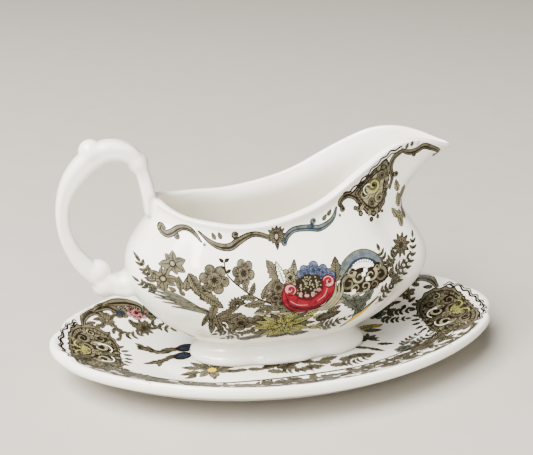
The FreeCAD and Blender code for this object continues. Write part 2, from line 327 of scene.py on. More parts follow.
def level_ring(ends_height, sides_height, handle_end, spout_end, half_width):
    """A ring of the bowl's outer wall, with a soft valley between side and end panels."""
    middle = (spout_end + handle_end) / 2.0
    reach = (spout_end - handle_end) / 2.0
    depth = VALLEY_DEPTH * min(max((ends_height - WAIST_HEIGHT) / 20.0, 0.0), 1.0)
    swell = 1.0 + 0.07 * (1.0 - np.cos(4.0 * TURNS)) / 2.0
    swell = swell - depth * (bump(41.0, 10.0) + bump(-41.0, 10.0))
    swell = swell - 0.6 * depth * (bump(136.0, 10.0) + bump(-136.0, 10.0))
    height = sides_height + (ends_height - sides_height) * np.cos(TURNS) ** 2
    return ring_of(middle + reach * swell * np.cos(TURNS), half_width * swell * np.sin(TURNS), height)


def thinning():
    """How much of the full wall is left, from 1 round the bowl to less at the spout's tip."""
    return 1.0 - TIP_THINNING * bump(0.0, TIP_SPREAD)


def rim_ring():
    """The top of the outer wall, where the lip starts to round over."""
    middle = (SPOUT_END + RIM_HANDLE_END) / 2.0
    reach = (SPOUT_END - RIM_HANDLE_END) / 2.0
    x = middle + reach * np.cos(TURNS)
    widths = np.array([along(RIM_WIDTHS, min(angle, 360.0 - angle)) for angle in DEGREES])
    drop = LIP_ROUND * thinning()
    heights = np.array([along(RIM_HEIGHTS, place) for place in x]) - drop
    return ring_of(x, widths * np.sin(TURNS), heights)


def bowl_rings():
    """The control rings of the bowl: up its outside, then over the lip and down its inside."""
    outer = [level_ring(*level) for level in BOWL_LEVELS]
    rim = rim_ring()
    neck, below = outer[-1], outer[-2]
    spout = bump(0.0, 30.0)[:, None]
    rise = (rim - neck)[:, 2:]
    upright = np.array([0.0, 0.0, 1.0])
    leaving = neck + (unit(neck - below) * (1.0 - spout) + upright * spout) * rise * 0.34
    outward = unit(rim * np.array([1.0, 2.0, 0.0]))
    flare = outward * 0.10 * rise + upright * rise * 0.30
    arriving = rim - (flare * (1.0 - spout) + np.array([12.5, 0.0, 1.5]) * spout)
    for share in (0.25, 0.5, 0.75):
        outer.append(neck * (1 - share) ** 3 + leaving * 3 * share * (1 - share) ** 2
                     + arriving * 3 * share ** 2 * (1 - share) + rim * share ** 3)
    outer.append(rim)
    shares = thinning()[:, None]
    inner = []
    for row, ring in enumerate(outer):
        up_way = outer[min(row + 1, len(outer) - 1)] - outer[max(row - 1, 0)]
        round_way = np.roll(ring, -1, axis=0) - np.roll(ring, 1, axis=0)
        inner.append(ring + unit(np.cross(up_way, round_way)) * WALL * shares)
    tips = unit(rim - arriving) * LIP_ROUND * shares
    lip = [outer[-1] + tips, inner[-1] + tips]
    floor = [ring_of(outer[1][:, 0] * shrink, outer[1][:, 1] * shrink, FLOOR_HEIGHT)
             for shrink in (1.0, 0.86)]
    return outer, lip + inner[:2:-1] + floor


def make_boat_shells():
    """The bowl and the foot, cut from one flowing outside surface at the waist."""
    base = WELL_HEIGHT + FOOT_CLEARANCE
    foot_rows = [(2.0, base), (0.8, base), (-0.9, base + 0.7), (-1.5, base + 2.8),
                 (-0.5, base + 5.0), (2.4, base + 7.0), (3.7, base + 9.4)]
    inner_rows = [(FOOT_WALL - 1.0, base), (FOOT_WALL, base + 0.2), (FOOT_WALL + 0.6, base + 1.6),
                  (FOOT_WALL + 1.2, base + 4.0), (FOOT_WALL + 1.6, base + 8.0),
                  (FOOT_WALL + 1.6, WAIST_HEIGHT)]
    outer, rest = bowl_rings()
    waist = (foot_ring(3.3, WAIST_HEIGHT) + outer[0]) / 2.0
    grid = surface([foot_ring(*row) for row in foot_rows] + [waist] + outer[1:] + rest)
    normals = grid_normals(grid, 1)
    side = grid[:, ROUND_SAMPLES // 4]
    cut = int(np.argmax(side[:, 2] > WAIST_HEIGHT))
    bowl = capped_object("bowl_glazed", grid[cut:], normals[cut:], 1, -1.0, 1.0)
    inside = surface([foot_ring(*row) for row in inner_rows])
    foot = tube_object("foot_glazed", grid[:cut + 1][::-1], inside, normals[:cut + 1][::-1], -1)
    return bowl, foot


# ---------------------------------------------------------------- handle

HANDLE_ROWS = 330
HANDLE_COLUMNS = 48
# Radius of the fillet at the rim and at the body
ROOT_FILLETS = (3.0, 3.6)
FILLET_STEPS = 7
FILLET_LIFT = 0.02
# How far the ends of the handle reach into the bowl's wall
ROOT_SINK = 0.9


def swollen(points):
    """Points of the handle, pushed out where they lie inside one of the moulded balls."""
    for x, z, radius in HANDLE_BALLS:
        away = points - np.array([x, 0.0, z])
        gap = radius - np.linalg.norm(away, axis=-1, keepdims=True)
        near = np.maximum(BALL_BLEND - np.abs(gap), 0.0) / BALL_BLEND
        points = points + unit(away) * (np.maximum(gap, 0.0) + near * near * BALL_BLEND / 4.0)
    return points


def handle_grid():
    """Points along the whole loop, before it is joined to the bowl, with its middle line."""
    line = np.array([(x, 0.0, z) for x, z in HANDLE_LINE])
    shares = np.linspace(0, 1, HANDLE_ROWS)
    middle = clamped_basis(len(line), shares) @ line
    way = unit(np.gradient(middle, axis=0))
    out = np.stack([way[:, 2], np.zeros(HANDLE_ROWS), -way[:, 0]], axis=1)
    turns = np.arange(HANDLE_COLUMNS) * 2.0 * math.pi / HANDLE_COLUMNS
    swell = 1.08 - 0.08 * np.cos(4.0 * turns)
    thickness = np.array([along(HANDLE_THICKNESS, share) for share in shares])
    width = np.array([along(HANDLE_WIDTH, share) for share in shares])
    grid = middle[:, None] + out[:, None] * (thickness[:, None] * swell * np.cos(turns))[:, :, None]
    grid[:, :, 1] += width[:, None] * swell * np.sin(turns)
    return swollen(grid), middle


def root_rows(grid, middle, tree, fillet):
    """Bends the end of every line of the handle out onto the bowl; rows run from the bowl up."""
    skirt = np.zeros((FILLET_STEPS, HANDLE_COLUMNS, 3))
    starts = np.zeros(HANDLE_COLUMNS, dtype=int)
    landing_normals = np.zeros((HANDLE_COLUMNS, 3))
    for column in range(HANDLE_COLUMNS):
        row = HANDLE_ROWS // 2
        while row > 0:
            point = Vector(grid[row, column])
            near, normal, _, distance = tree.find_nearest(point)
            if distance < fillet or (point - near).dot(normal) < 0:
                break
            row -= 1
        starts[column] = row
        near, normal = np.array(near), np.array(normal)
        start = grid[row, column]
        outward = start - middle[row]
        outward = unit(outward - normal * outward.dot(normal))
        landing = tree.find_nearest(Vector(near + outward * fillet))
        land, land_normal = np.array(landing[0]), np.array(landing[1])
        corner = near + normal * FILLET_LIFT
        for step in range(FILLET_STEPS):
            t = 1.0 - (step + 1) / FILLET_STEPS
            skirt[FILLET_STEPS - 1 - step, column] = (start * t * t + corner * 2 * t * (1 - t)
                                                      + land * (1 - t) ** 2)
        landing_normals[column] = land_normal
    return skirt, starts, landing_normals


def make_handle(bowl_tree):
    """The handle as one closed loop of rings, flowing into the bowl at both ends."""
    grid, middle = handle_grid()
    columns = np.arange(HANDLE_COLUMNS)
    rim_fillet, body_fillet = ROOT_FILLETS
    rim_skirt, rim_starts, rim_normals = root_rows(grid, middle, bowl_tree, rim_fillet)
    body_skirt, body_starts, body_normals = root_rows(grid[::-1], middle[::-1], bowl_tree, body_fillet)
    loop = []
    for share in np.linspace(0, 1, HANDLE_ROWS):
        place = rim_starts * (1 - share) + (HANDLE_ROWS - 1 - body_starts) * share
        row = np.minimum(place.astype(int), HANDLE_ROWS - 2)
        part = (place - row)[:, None]
        loop.append(grid[row, columns] * (1 - part) + grid[row + 1, columns] * part)
    whole = np.concatenate([rim_skirt, loop, body_skirt[::-1]])
    normals = grid_normals(whole, 1)
    normals[0] = rim_normals
    normals[-1] = body_normals
    sunk_rim = whole[0] - rim_normals * ROOT_SINK
    sunk_body = whole[-1] - body_normals * ROOT_SINK
    whole = np.concatenate([[sunk_rim], whole, [sunk_body]])
    normals = np.concatenate([[rim_normals], normals, [body_normals]])
    points = whole.reshape(-1, 3)
    faces = quads(len(whole), HANDLE_COLUMNS, 1)
    faces.append(tuple(range(HANDLE_COLUMNS))[::-1])
    faces.append(tuple(range(len(points) - HANDLE_COLUMNS, len(points))))
    return make_object("handle_moulded", points, faces, normals.reshape(-1, 3))


# ---------------------------------------------------------------- print, drawn flat

class Sheet:
    """Ribbons and discs of ink in one flat chart, before they are laid on the glaze."""

    def __init__(self):
        self.films = []

    def add(self, ink, level, grid, joined):
        """Keeps one film: a grid of complex points, closed round if joined."""
        self.films.append((ink, level, grid, joined))


class Pen:
    """Draws on a sheet in its own place, turn, size and handedness."""

    def __init__(self, sheet, place=0j, turn=1 + 0j, flip=False, lift=0):
        self.sheet = sheet
        self.place = place
        self.turn = turn
        self.flip = flip
        self.lift = lift

    def put(self, points):
        points = np.conj(points) if self.flip else np.asarray(points)
        return self.place + self.turn * points

    def at(self, x, y, degrees=0.0, size=1.0, flip=False, lift=0):
        turn = cmath.rect(size, math.radians(degrees))
        if self.flip:
            turn = turn.conjugate()
        return Pen(self.sheet, complex(self.put(complex(x, y))), self.turn * turn,
                   self.flip != flip, self.lift + lift)

    def ribbon(self, ink, level, spine, half_widths):
        """A band of ink along a line of complex points, as wide as its half widths."""
        spine = np.asarray(spine)
        half_widths = np.broadcast_to(half_widths, spine.shape)
        way = np.gradient(spine)
        left = 1j * way / np.maximum(np.abs(way), 1e-9)
        widest = float(np.max(half_widths)) * abs(self.turn)
        columns = max(2, int(math.ceil(widest * 2 / 1.3)) + 1)
        across = np.linspace(-1, 1, columns)
        grid = spine[:, None] + (left * half_widths)[:, None] * across
        self.sheet.add(ink, self.lift + level, self.put(grid), False)

    def disc(self, ink, level, radii, stretch=1.0):
        """A rounded patch of ink about the pen's place, with a radius for each direction."""
        radii = np.asarray(radii)
        turns = np.arange(len(radii)) * 2 * math.pi / len(radii)
        edge = radii * (np.cos(turns) + 1j * np.sin(turns) * stretch)
        rings = max(2, int(math.ceil(float(np.max(radii)) * abs(self.turn) / 1.2)) + 1)
        shares = np.linspace(0.12, 1.0, rings)
        self.sheet.add(ink, self.lift + level, self.put(shares[:, None] * edge), True)

    def dot(self, ink, level, radius):
        self.disc(ink, level, np.full(10, radius))


def smooth_line(points, count):
    """A smooth line of complex points through a few places."""
    places = [complex(*point) for point in points]
    places = np.array([2 * places[0] - places[1]] + places + [2 * places[-1] - places[-2]])
    at = np.linspace(0, len(points) - 1, count)
    step = np.minimum(at.astype(int), len(points) - 2)
    t = at - step
    before, start, end, after = (places[step + offset] for offset in range(4))
    return 0.5 * (2 * start + (end - before) * t + (2 * before - 5 * start + 4 * end - after) * t ** 2
                  + (3 * start - before - 3 * end + after) * t ** 3)


def line_length(points):
    return float(np.abs(np.diff(points)).sum())


def stroke(pen, ink, level, points, widths):
    """A smooth ribbon through a few places, its half width running through a few values."""
    rough = smooth_line(points, 40)
    count = max(5, int(line_length(rough) * abs(pen.turn) / 0.9) + 2)
    spine = smooth_line(points, count)
    half_widths = np.interp(np.linspace(0, 1, count), np.linspace(0, 1, len(widths)), widths)
    pen.ribbon(ink, level, spine, half_widths)


def outlined(pen, points, widths, ink, line="brown", edge=0.34):
    """A stroke with a darker outline."""
    stroke(pen, line, 0, points, [width + edge / abs(pen.turn) for width in widths])
    stroke(pen, ink, 1, points, widths)


def leaf(pen, length, width, ink="olive", teeth=0, line="brown"):
    """A pointed leaf from the pen's place along its x, with a rib and side veins."""
    size = length * abs(pen.turn)
    count = max(6, int(size / 0.7) + 3, teeth * 4 + 1)
    t = np.linspace(0, 1, count)
    spine = length * t + 0j
    body = np.sin(math.pi * t ** 0.75) ** 0.85
    if teeth:
        body = body * (1.0 - 0.42 * ((t * teeth) % 1.0) * np.sin(math.pi * t) ** 0.5)
    half = width / 2 * body
    edge = (0.22 + 0.012 * min(size, 12.0)) / abs(pen.turn)
    pen.ribbon(line, 0, spine, half + edge * 0.6)
    pen.ribbon(ink, 1, spine, np.maximum(half - edge * 0.8, 0.02))
    fine = 0.2 / abs(pen.turn)
    pen.ribbon(line, 2, spine[:-1], fine * (1 - 0.7 * t[:-1]))
    if size > 4.0:
        for share in np.arange(0.16, 0.78, 1.1 / size):
            root = np.interp(share, t, spine)
            reach = width * 0.40 * float(np.interp(share, t, body))
            for side in (1, -1):
                tip = root + reach * (0.8 + 1j * side * 0.9)
                pen.ribbon(line, 2, np.array([root, (root + tip) / 2, tip]),
                           np.array([1.0, 0.8, 0.3]) * fine * 0.75)


def leaves(pen, rows, length=0.0, width=0.0, share=0.46, lift=0, **look):
    """A leaf at each (x, y, degrees); a row may go on with a length, and a width, of its own."""
    for x, y, degrees, *own in rows:
        sizes = (*own, own[0] * share)[:2] if own else (length, width)
        leaf(pen.at(x, y, degrees, lift=lift), *sizes, **look)


def spray(pen, size, pairs, *points):
    """A stem through a few places with pairs of small leaves and a leaf at its tip."""
    line = smooth_line(points, 41)
    fine = 0.2 / abs(pen.turn)
    stroke(pen, "brown", 0, points, [fine * 1.3, fine, fine * 0.7])
    for pair in range(pairs):
        share = (pair + 0.9) / (pairs + 0.6)
        step = min(int(share * 40), 39)
        way = line[step + 1] - line[step]
        angle = math.degrees(cmath.phase(way))
        place = line[step]
        small = size * (1.0 - 0.35 * share)
        for side in (1, -1):
            lean = 48 if (pair + side) % 2 else 56
            leaf(pen.at(place.real, place.imag, angle + side * lean), small, small * 0.42)
    tip, before = line[-1], line[-2]
    angle = math.degrees(cmath.phase(tip - before))
    leaf(pen.at(tip.real, tip.imag, angle), size * 0.8, size * 0.36)


def hatch(pen, radius, count, inner, outer, ink="brown", level=2, fine=0.15, stretch=1.0):
    """Fine short lines of shading that run outwards, of uneven length."""
    for ray in range(count):
        way = cmath.rect(1.0, 2 * math.pi * (ray + 0.6 * random.random()) / count)
        way = complex(way.real, way.imag * stretch)
        start = radius * (inner + 0.16 * random.random())
        end = radius * (outer - 0.22 * random.random())
        pen.ribbon(ink, level, np.array([start, (start + end) / 2, end]) * way,
                   fine / abs(pen.turn) * np.array([1.1, 0.9, 0.4]))


def daisy(pen, radius, petals=8, ink="olive", centre="pale", point=0.6):
    """An open flower with separate pointed petals round a seeded centre."""
    for petal in range(petals):
        one = pen.at(0, 0, 360.0 * petal / petals + 12 * (petal % 2), 1.0 - 0.1 * (petal % 3))
        count = max(5, int(radius * abs(pen.turn) / 0.6) + 3)
        t = np.linspace(0, 1, count)
        spine = radius * (0.2 + 0.8 * t) + 0j
        half = radius * 2.0 / petals * np.sin(math.pi * (0.12 + 0.88 * t ** (0.6 + point))) ** 0.9
        edge = 0.3 / abs(pen.turn)
        one.ribbon("brown", 0, spine, half + edge * 0.5)
        one.ribbon(ink, 1, spine, np.maximum(half - edge * 0.8, 0.03))
        one.ribbon("brown", 2, spine[:count * 3 // 4 + 1], 0.17 / abs(pen.turn))
    pen.disc("brown", 3, np.full(16, radius * 0.25))
    pen.disc(centre, 4, np.full(16, radius * 0.15))
    for seed in range(5):
        spot = cmath.rect(radius * 0.1, math.radians(72 * seed))
        pen.at(spot.real, spot.imag).dot("brown", 5, 0.17 / abs(pen.turn))


def scalloped(radius, lobes, depth, count=72):
    """Radii of a disc with a scalloped edge."""
    turns = np.arange(count) * 2 * math.pi / count
    return radius * (1.0 - depth + depth * np.abs(np.sin(lobes * turns / 2)) ** 0.7)


def blossom(pen, radius, lobes=5, ink="olive", stretch=1.0, heart="brown", line="brown"):
    """A full flower head: two tiers of scalloped petals, fine shading and a dark heart."""
    edge = 0.44 / abs(pen.turn)
    fine = 0.2 / abs(pen.turn)
    size = radius * abs(pen.turn)
    pen.disc(line, 0, scalloped(radius + edge * 0.5, lobes, 0.26), stretch)
    pen.disc(ink, 1, scalloped(radius - edge * 0.6, lobes, 0.26), stretch)
    for lobe in range(lobes):
        fold = pen.at(0, 0, 360.0 * lobe / lobes)
        fold.ribbon(line, 2, np.array([0.3, 0.5 + 0.05j, 0.76 - 0.02j]) * radius,
                    fine * np.array([1.6, 1.2, 0.7]))
    hatch(pen, radius, int(size * 7), 0.44, 0.86, line, 2, 0.16, stretch)
    inner = pen.at(0, 0, 180.0 / lobes, lift=3)
    inner.disc(line, 0, scalloped(radius * 0.5 + edge * 0.4, lobes, 0.24), stretch)
    inner.disc(ink, 1, scalloped(radius * 0.5 - edge * 0.5, lobes, 0.24), stretch)
    hatch(inner, radius * 0.5, int(size * 4), 0.3, 0.86, line, 2, 0.14, stretch)
    pen.at(0, 0, lift=6).disc(heart, 0, scalloped(radius * 0.2, 6, 0.2, 24))


def curl(pen, radius, ink, sweep=420.0, thickness=0.34, line="brown"):
    """A rolled-up scroll end, from the outside in, ending in a small ball."""
    count = max(14, int(radius * abs(pen.turn) * 6))
    turns = np.radians(np.linspace(0, sweep, count))
    reach = radius * (1 - 0.72 * np.linspace(0, 1, count) ** 0.8)
    spine = reach * np.exp(1j * turns)
    half = radius * thickness * np.linspace(0.75, 0.3, count)
    pen.ribbon(line, 0, spine, half + 0.16 / abs(pen.turn))
    pen.ribbon(ink, 1, spine, np.maximum(half - 0.16 / abs(pen.turn), 0.02))
    pen.at(0, 0).dot(line, 2, radius * 0.22)


def arch(pen, radius, half_width, ink="cream"):
    """An open arch of light ink with rounded ends."""
    turns = np.radians(np.linspace(0, 165.0, 22))
    pen.ribbon("brown", 0, radius * np.exp(1j * turns), half_width + 0.22 / abs(pen.turn))
    pen.ribbon(ink, 1, radius * np.exp(1j * turns), half_width * np.linspace(1.0, 0.7, 22))
    pen.at(radius, 0).dot(ink, 1, half_width * 1.7)


def scroll(pen, points, widths, ink="olive", line="brown", balls=()):
    """A flowing scroll with a dark outline, shading along one side and rolled ends beside it."""
    thick = 1.0 / abs(pen.turn)
    stroke(pen, line, 0, points, [width + 0.3 * thick for width in widths])
    stroke(pen, ink, 1, points, [max(width - 0.16 * thick, 0.05) for width in widths])
    shaded = [(x, y - 0.3 * thick) for x, y in points]
    stroke(pen, line, 2, shaded, [max(width - 0.55, 0.06) * 0.5 * thick for width in widths])
    for x, y, radius in balls:
        spine = smooth_line(points, 60)
        foot = spine[int(np.argmin(np.abs(spine - complex(x, y))))]
        reach = complex(x, y) - foot
        stroke(pen, line, 1,
               [(foot.real, foot.imag), (x - reach.imag * 0.3, y + reach.real * 0.3), (x, y)],
               [0.8 * radius, 0.7 * radius, 0.5 * radius])
        ball = pen.at(x, y, lift=2)
        ball.disc(line, 0, np.full(16, radius + 0.3 * thick))
        ball.disc(ink, 1, np.full(16, radius - 0.1))
        ball.at(0.2 * radius, 0.1 * radius).disc(line, 2, np.full(14, radius * 0.55))


def fan(pen, angles, length, width, **look):
    """Leaves that spread from the pen's place."""
    for angle in angles:
        leaf(pen.at(0, 0, angle), length, width, **look)


def panel(pen, edge, depth, waves, outer, border, rings, rays, ray_shares, ray_width):
    """A rippled shell panel with fine rings and short rays; edge holds its radius all the way round."""
    turns = np.arange(len(edge)) * 2 * math.pi / len(edge)
    ripple = 1.0 + depth * np.cos(turns * waves)
    pen.disc("brown", 0, edge * ripple * outer)
    pen.disc("olive", 1, (edge - border) * ripple)
    for share, width in rings:
        ring = edge * share * np.exp(1j * turns)
        pen.ribbon("brown", 2, np.append(ring, ring[0]), width)
    for ray in range(rays):
        reach = edge[ray * len(edge) // rays]
        pen.at(0, 0, 360.0 * ray / rays).ribbon("brown", 2, np.array(ray_shares) * reach, ray_width)


def palmette(pen, size):
    """A small fan of leaves over a tail."""
    for angle, length in ((168, 1.0), (12, 1.0), (138, 1.15), (42, 1.15), (114, 1.15), (66, 1.15), (90, 1.2),
                          (202, 0.95), (-22, 0.95), (232, 0.8), (-52, 0.8), (-90, 1.25)):
        leaf(pen.at(0, 0, angle), size * length, size * 0.44)
    pen.disc("brown", 3, np.full(16, size * 0.3), 1.5)
    pen.disc("pale", 4, np.full(16, size * 0.17), 1.5)


def blades(pen, starts, end, width):
    """A tuft of grass blades that meet at one place; starts are the tips."""
    for number, (x, y) in enumerate(starts):
        middle = ((x + end[0]) / 2 + 0.4, (y + end[1]) / 2 + 1.6 - 0.4 * (number % 3))
        outlined(pen.at(0, 0, lift=number % 3), [(x, y), middle, end], [0.08, width, width * 0.6],
                 "slate" if number % 2 else "olive", edge=0.2)


# ---------------------------------------------------------------- print, on the boat's side

def draw_border(pen):
    """Scrolls under the rim; x along the boat, y up."""
    scroll(pen, [(-57.2, 81.6), (-58.6, 83), (-59.2, 81.4), (-57, 79.9), (-54.4, 80.8), (-51, 82.9),
                 (-47.6, 83), (-45, 81), (-42.2, 77.4)], [0.5, 0.8, 1.0, 1.3, 1.3, 1.1, 1.0, 0.7, 0.15],
           balls=[(-52.6, 79.2, 1.0)])
    scroll(pen, [(-43.4, 82.2), (-39.4, 78.4), (-35, 76), (-30, 75.6), (-26, 77.8), (-21, 80.2),
                 (-17, 80.4), (-11, 78.2)], [0.15, 0.7, 1.2, 1.5, 1.5, 1.3, 1.1, 0.8],
           balls=[(-27.4, 80.8, 1.3)])
    scroll(pen, [(-5.2, 76.2), (-3.2, 78.8), (0.6, 81), (7.6, 81), (12.2, 80.4), (17, 82.2),
                 (20, 85), (21.4, 89)], [1.3, 1.2, 1.2, 1.3, 1.3, 1.0, 0.7, 0.15],
           ink="slate", line="ink_blue", balls=[(9.6, 83.8, 1.1), (-5.0, 75.6, 1.1)])
    palmette(pen.at(-8.4, 78.6, lift=3), 4.6)
    leaves(pen, ((-36.2, 78.6, 112), (-33.6, 78.8, 108), (14.2, 83.4, 52), (16.8, 85.2, 58)), 3.4, 1.7)
    for x, y in ((-62.8, 82.4), (-41.2, 76.6), (22.8, 84.8)):
        pen.at(x, y).dot("slate", 1, 0.75)


def draw_spout(pen):
    """The shell panel on the flank of the spout and the scrolls that run out to its tip."""
    shell = pen.at(40.5, 93.0)
    corners = [(-11.4, 0.6), (-8.6, 3.4), (-3.4, 7.6), (3.2, 12.6), (8.0, 14.0), (9.6, 9.0), (9.0, 3.0),
               (8.2, -3.0), (6.0, -8.6), (1.2, -11.2), (-3.4, -9.4), (-7.2, -5.6), (-11.4, 0.6)]
    outline = smooth_line(corners, 97)
    turns = np.arange(96) * 2 * math.pi / 96
    edge = np.interp(turns, np.angle(outline[:-1]), np.abs(outline[:-1]), period=2 * math.pi)
    panel(shell, edge, depth=0.03, waves=16, outer=1.02, border=0.55, rings=((0.84, 0.24), (0.70, 0.3)),
          rays=32, ray_shares=(0.71, 0.77, 0.83), ray_width=0.19)
    shell.disc("pale", 2, edge * 0.64)
    hatch(shell, 8.0, 26, 0.2, 0.8, "brown", 3, 0.13)
    curls = ((0.6, 3.0, 3.9, 200, False, "lime"), (-4.6, -0.2, 3.0, 70, True, "pale"),
             (3.8, -3.6, 2.8, 100, False, "pale"), (5.2, 7.0, 2.8, 250, True, "olive"),
             (-0.6, -4.6, 2.3, 300, True, "olive"))
    for x, y, radius, angle, flip, ink in curls:
        shell.at(x, y, lift=3).disc("olive", 0, np.full(22, radius * 0.9))
        curl(shell.at(x, y, angle, flip=flip, lift=4), radius, ink)
    arch(shell.at(-2.4, 1.4, 80, lift=7), 2.4, 0.24)
    leaves(shell, ((-1.6, -7.4, 250), (1.8, -7.6, 280), (-5, -5.0, 225), (7.0, 0.8, 5), (6.6, 3.8, 35),
                   (2.4, 9.4, 60)), 3.6, 2.0, lift=5, ink="pale")
    for x, y, radius in ((-9.6, -6.0, 1.1), (-7.0, -8.8, 1.3), (-1.4, -12.4, 1.2), (2.6, -12.2, 1.0),
                         (5.6, -10.6, 0.8)):
        shell.at(x, y).disc("brown", 1, np.full(14, radius))
        shell.at(x, y).disc("olive", 2, np.full(14, radius * 0.55))
    scroll(pen, [(24.8, 88.2), (23.2, 89.6), (24.2, 92.2), (27.4, 93.6), (31, 92.2), (33.2, 89.2)],
           [0.5, 0.9, 1.3, 1.5, 1.4, 0.9], balls=[(24.4, 87.4, 1.1), (32.6, 86.4, 1.1)])
    rim_places = [(24.6, 94.4), (29.6, 96.0), (34.6, 99.6), (39.6, 103.8), (45, 108), (50, 111), (56, 112)]
    rim_side = smooth_line(rim_places, 90)
    left = 1j * np.gradient(rim_side)
    left = left / np.abs(left)
    wave = np.sin(np.arange(90) * 0.45)
    rim_pen = pen.at(0, 0, lift=5)
    rim_pen.ribbon("brown", 1, rim_side + left * (0.2 + 0.5 * wave), 0.42)
    rim_pen.ribbon("brown", 1, rim_side - left * (1.4 - 0.3 * wave), 0.3)
    scroll(pen, [(50.4, 92), (51.6, 98), (50.4, 103), (52, 107.6), (56.4, 110.2)],
           [0.3, 0.8, 1.1, 1.2, 0.8], balls=[(53.6, 99, 1.2)])
    scroll(pen, [(55.6, 111), (60, 108.9), (64.6, 109), (68.6, 110.6), (72.8, 109.2), (78.0, 106.4),
                 (77.2, 104.2), (75, 104.6)], [0.6, 1.2, 1.4, 1.4, 1.2, 0.9, 0.7, 0.5],
           balls=[(63.4, 107.2, 0.9)])
    leaves(pen, ((58.4, 110.8, 70), (61.4, 111.6, 80), (64.6, 111.6, 70), (68.4, 112, 58),
                 (71.6, 111, 40)), 3.2, 1.6)
    leaves(pen, ((57, 73, 96, 8.0), (58.6, 78, 80, 7.6), (56.6, 82, 100, 7.6), (57.6, 86, 74, 6.6),
                 (55.4, 90, 104, 6.4), (55.4, 77.4, 126, 6.4), (60.4, 75.6, 110, 6.0)), share=0.5,
           ink="pale", teeth=3)


def draw_peony(pen):
    """The big flower: olive outer petals, blue back petals, dark stamens and a red front petal."""
    for x, y, radius, lobes, ink in ((-11.2, 2.6, 5.4, 4, "olive"), (-9.6, -5.4, 5.4, 4, "olive"),
                                     (-5.6, 6.8, 4.8, 4, "pale"), (-12.6, -2.4, 4.2, 3, "olive"),
                                     (14.6, -3.6, 5.0, 4, "pale"), (13.6, 4.6, 4.4, 4, "olive"),
                                     (0.4, 4.4, 5.4, 5, "pale"), (-3.6, -8.4, 4.0, 4, "olive")):
        blossom(pen.at(x, y, 30 * x), radius, lobes, ink)
    for x, y, radius in ((1.2, 8.0, 3.6), (5.4, 8.8, 4.2), (10.0, 7.6, 3.6), (13.4, 5.4, 2.8)):
        blossom(pen.at(x, y, 40 * x, lift=7), radius, 4, "blue", heart="ink_blue", line="ink_blue")
    heart = pen.at(3.4, 1.4, lift=14)
    heart.disc("brown", 0, scalloped(8.0, 9, 0.14), 0.8)
    for seed in range(60):
        spot = cmath.rect(6.8 * math.sqrt(random.random()), 2 * math.pi * random.random())
        heart.at(spot.real, spot.imag * 0.8, 40 * seed).disc("pale", 1 + seed % 2,
                                                            np.full(8, 0.5), 0.5)
    front = pen.at(2.5, -3.0, lift=17)
    crescent = [(-9.2, 4.6), (-8.8, 0.2), (-5.6, -3.4), (0.2, -4.4), (5.6, -2.6), (9.6, 1.6), (10.4, 6.8)]
    stroke(front, "wine", 0, crescent, [2.9, 3.6, 4.0, 3.8, 3.5, 3.4, 3.0])
    stroke(front, "red", 1, crescent, [2.3, 3.0, 3.3, 3.1, 2.9, 2.8, 2.4])
    stroke(front, "wine", 2, [(-10.6, 2.0), (-7.6, -4.4), (-0.6, -6.6), (6.6, -4.8), (11.2, 0.2)],
           [0.2, 0.7, 0.8, 0.6, 0.2])
    stroke(front, "wine", 2, [(-5.2, -0.4), (0.0, -1.8), (4.8, -0.2), (7.2, 3.6)], [0.15, 0.4, 0.4, 0.15])
    stroke(front, "pink", 3, [(-8.4, -1.4), (-4.4, -4.0), (0.6, -4.6)], [0.1, 0.26, 0.1])
    stroke(front, "pink", 3, [(4.8, -3.0), (8.2, -0.4), (9.4, 3.0)], [0.1, 0.3, 0.1])
    for x, y, flip in ((-8.2, 4.2, False), (10.0, 6.4, True)):
        lip = front.at(x, y, 230, flip=flip, lift=4)
        lip.disc("wine", 0, np.full(22, 2.9), 1.2)
        lip.disc("pink", 1, np.full(22, 2.3), 1.2)
        curl(lip.at(0, 0, 0, lift=2), 2.2, "red", 330, 0.36, "wine")
    for x, y in ((-3.4, 1.4), (-0.4, 0.4), (2.6, 0.8), (5.4, 2.8)):
        front.at(x, y, 30 * x, lift=4).disc("pink", 0, scalloped(1.3, 5, 0.24, 30), 0.7)
    for reach in (0.0, 1.7, 3.4):
        outlined(front.at(0, 0, lift=-3),
                 [(13.6 + reach, 5.4 - reach * 0.3), (13.2 + reach, -0.8),
                  (9.0 + reach, -6.2 - reach * 0.3), (3.6 + reach, -8.0 - reach * 0.2)],
                 [0.2, 0.7, 0.6, 0.2], "pale")


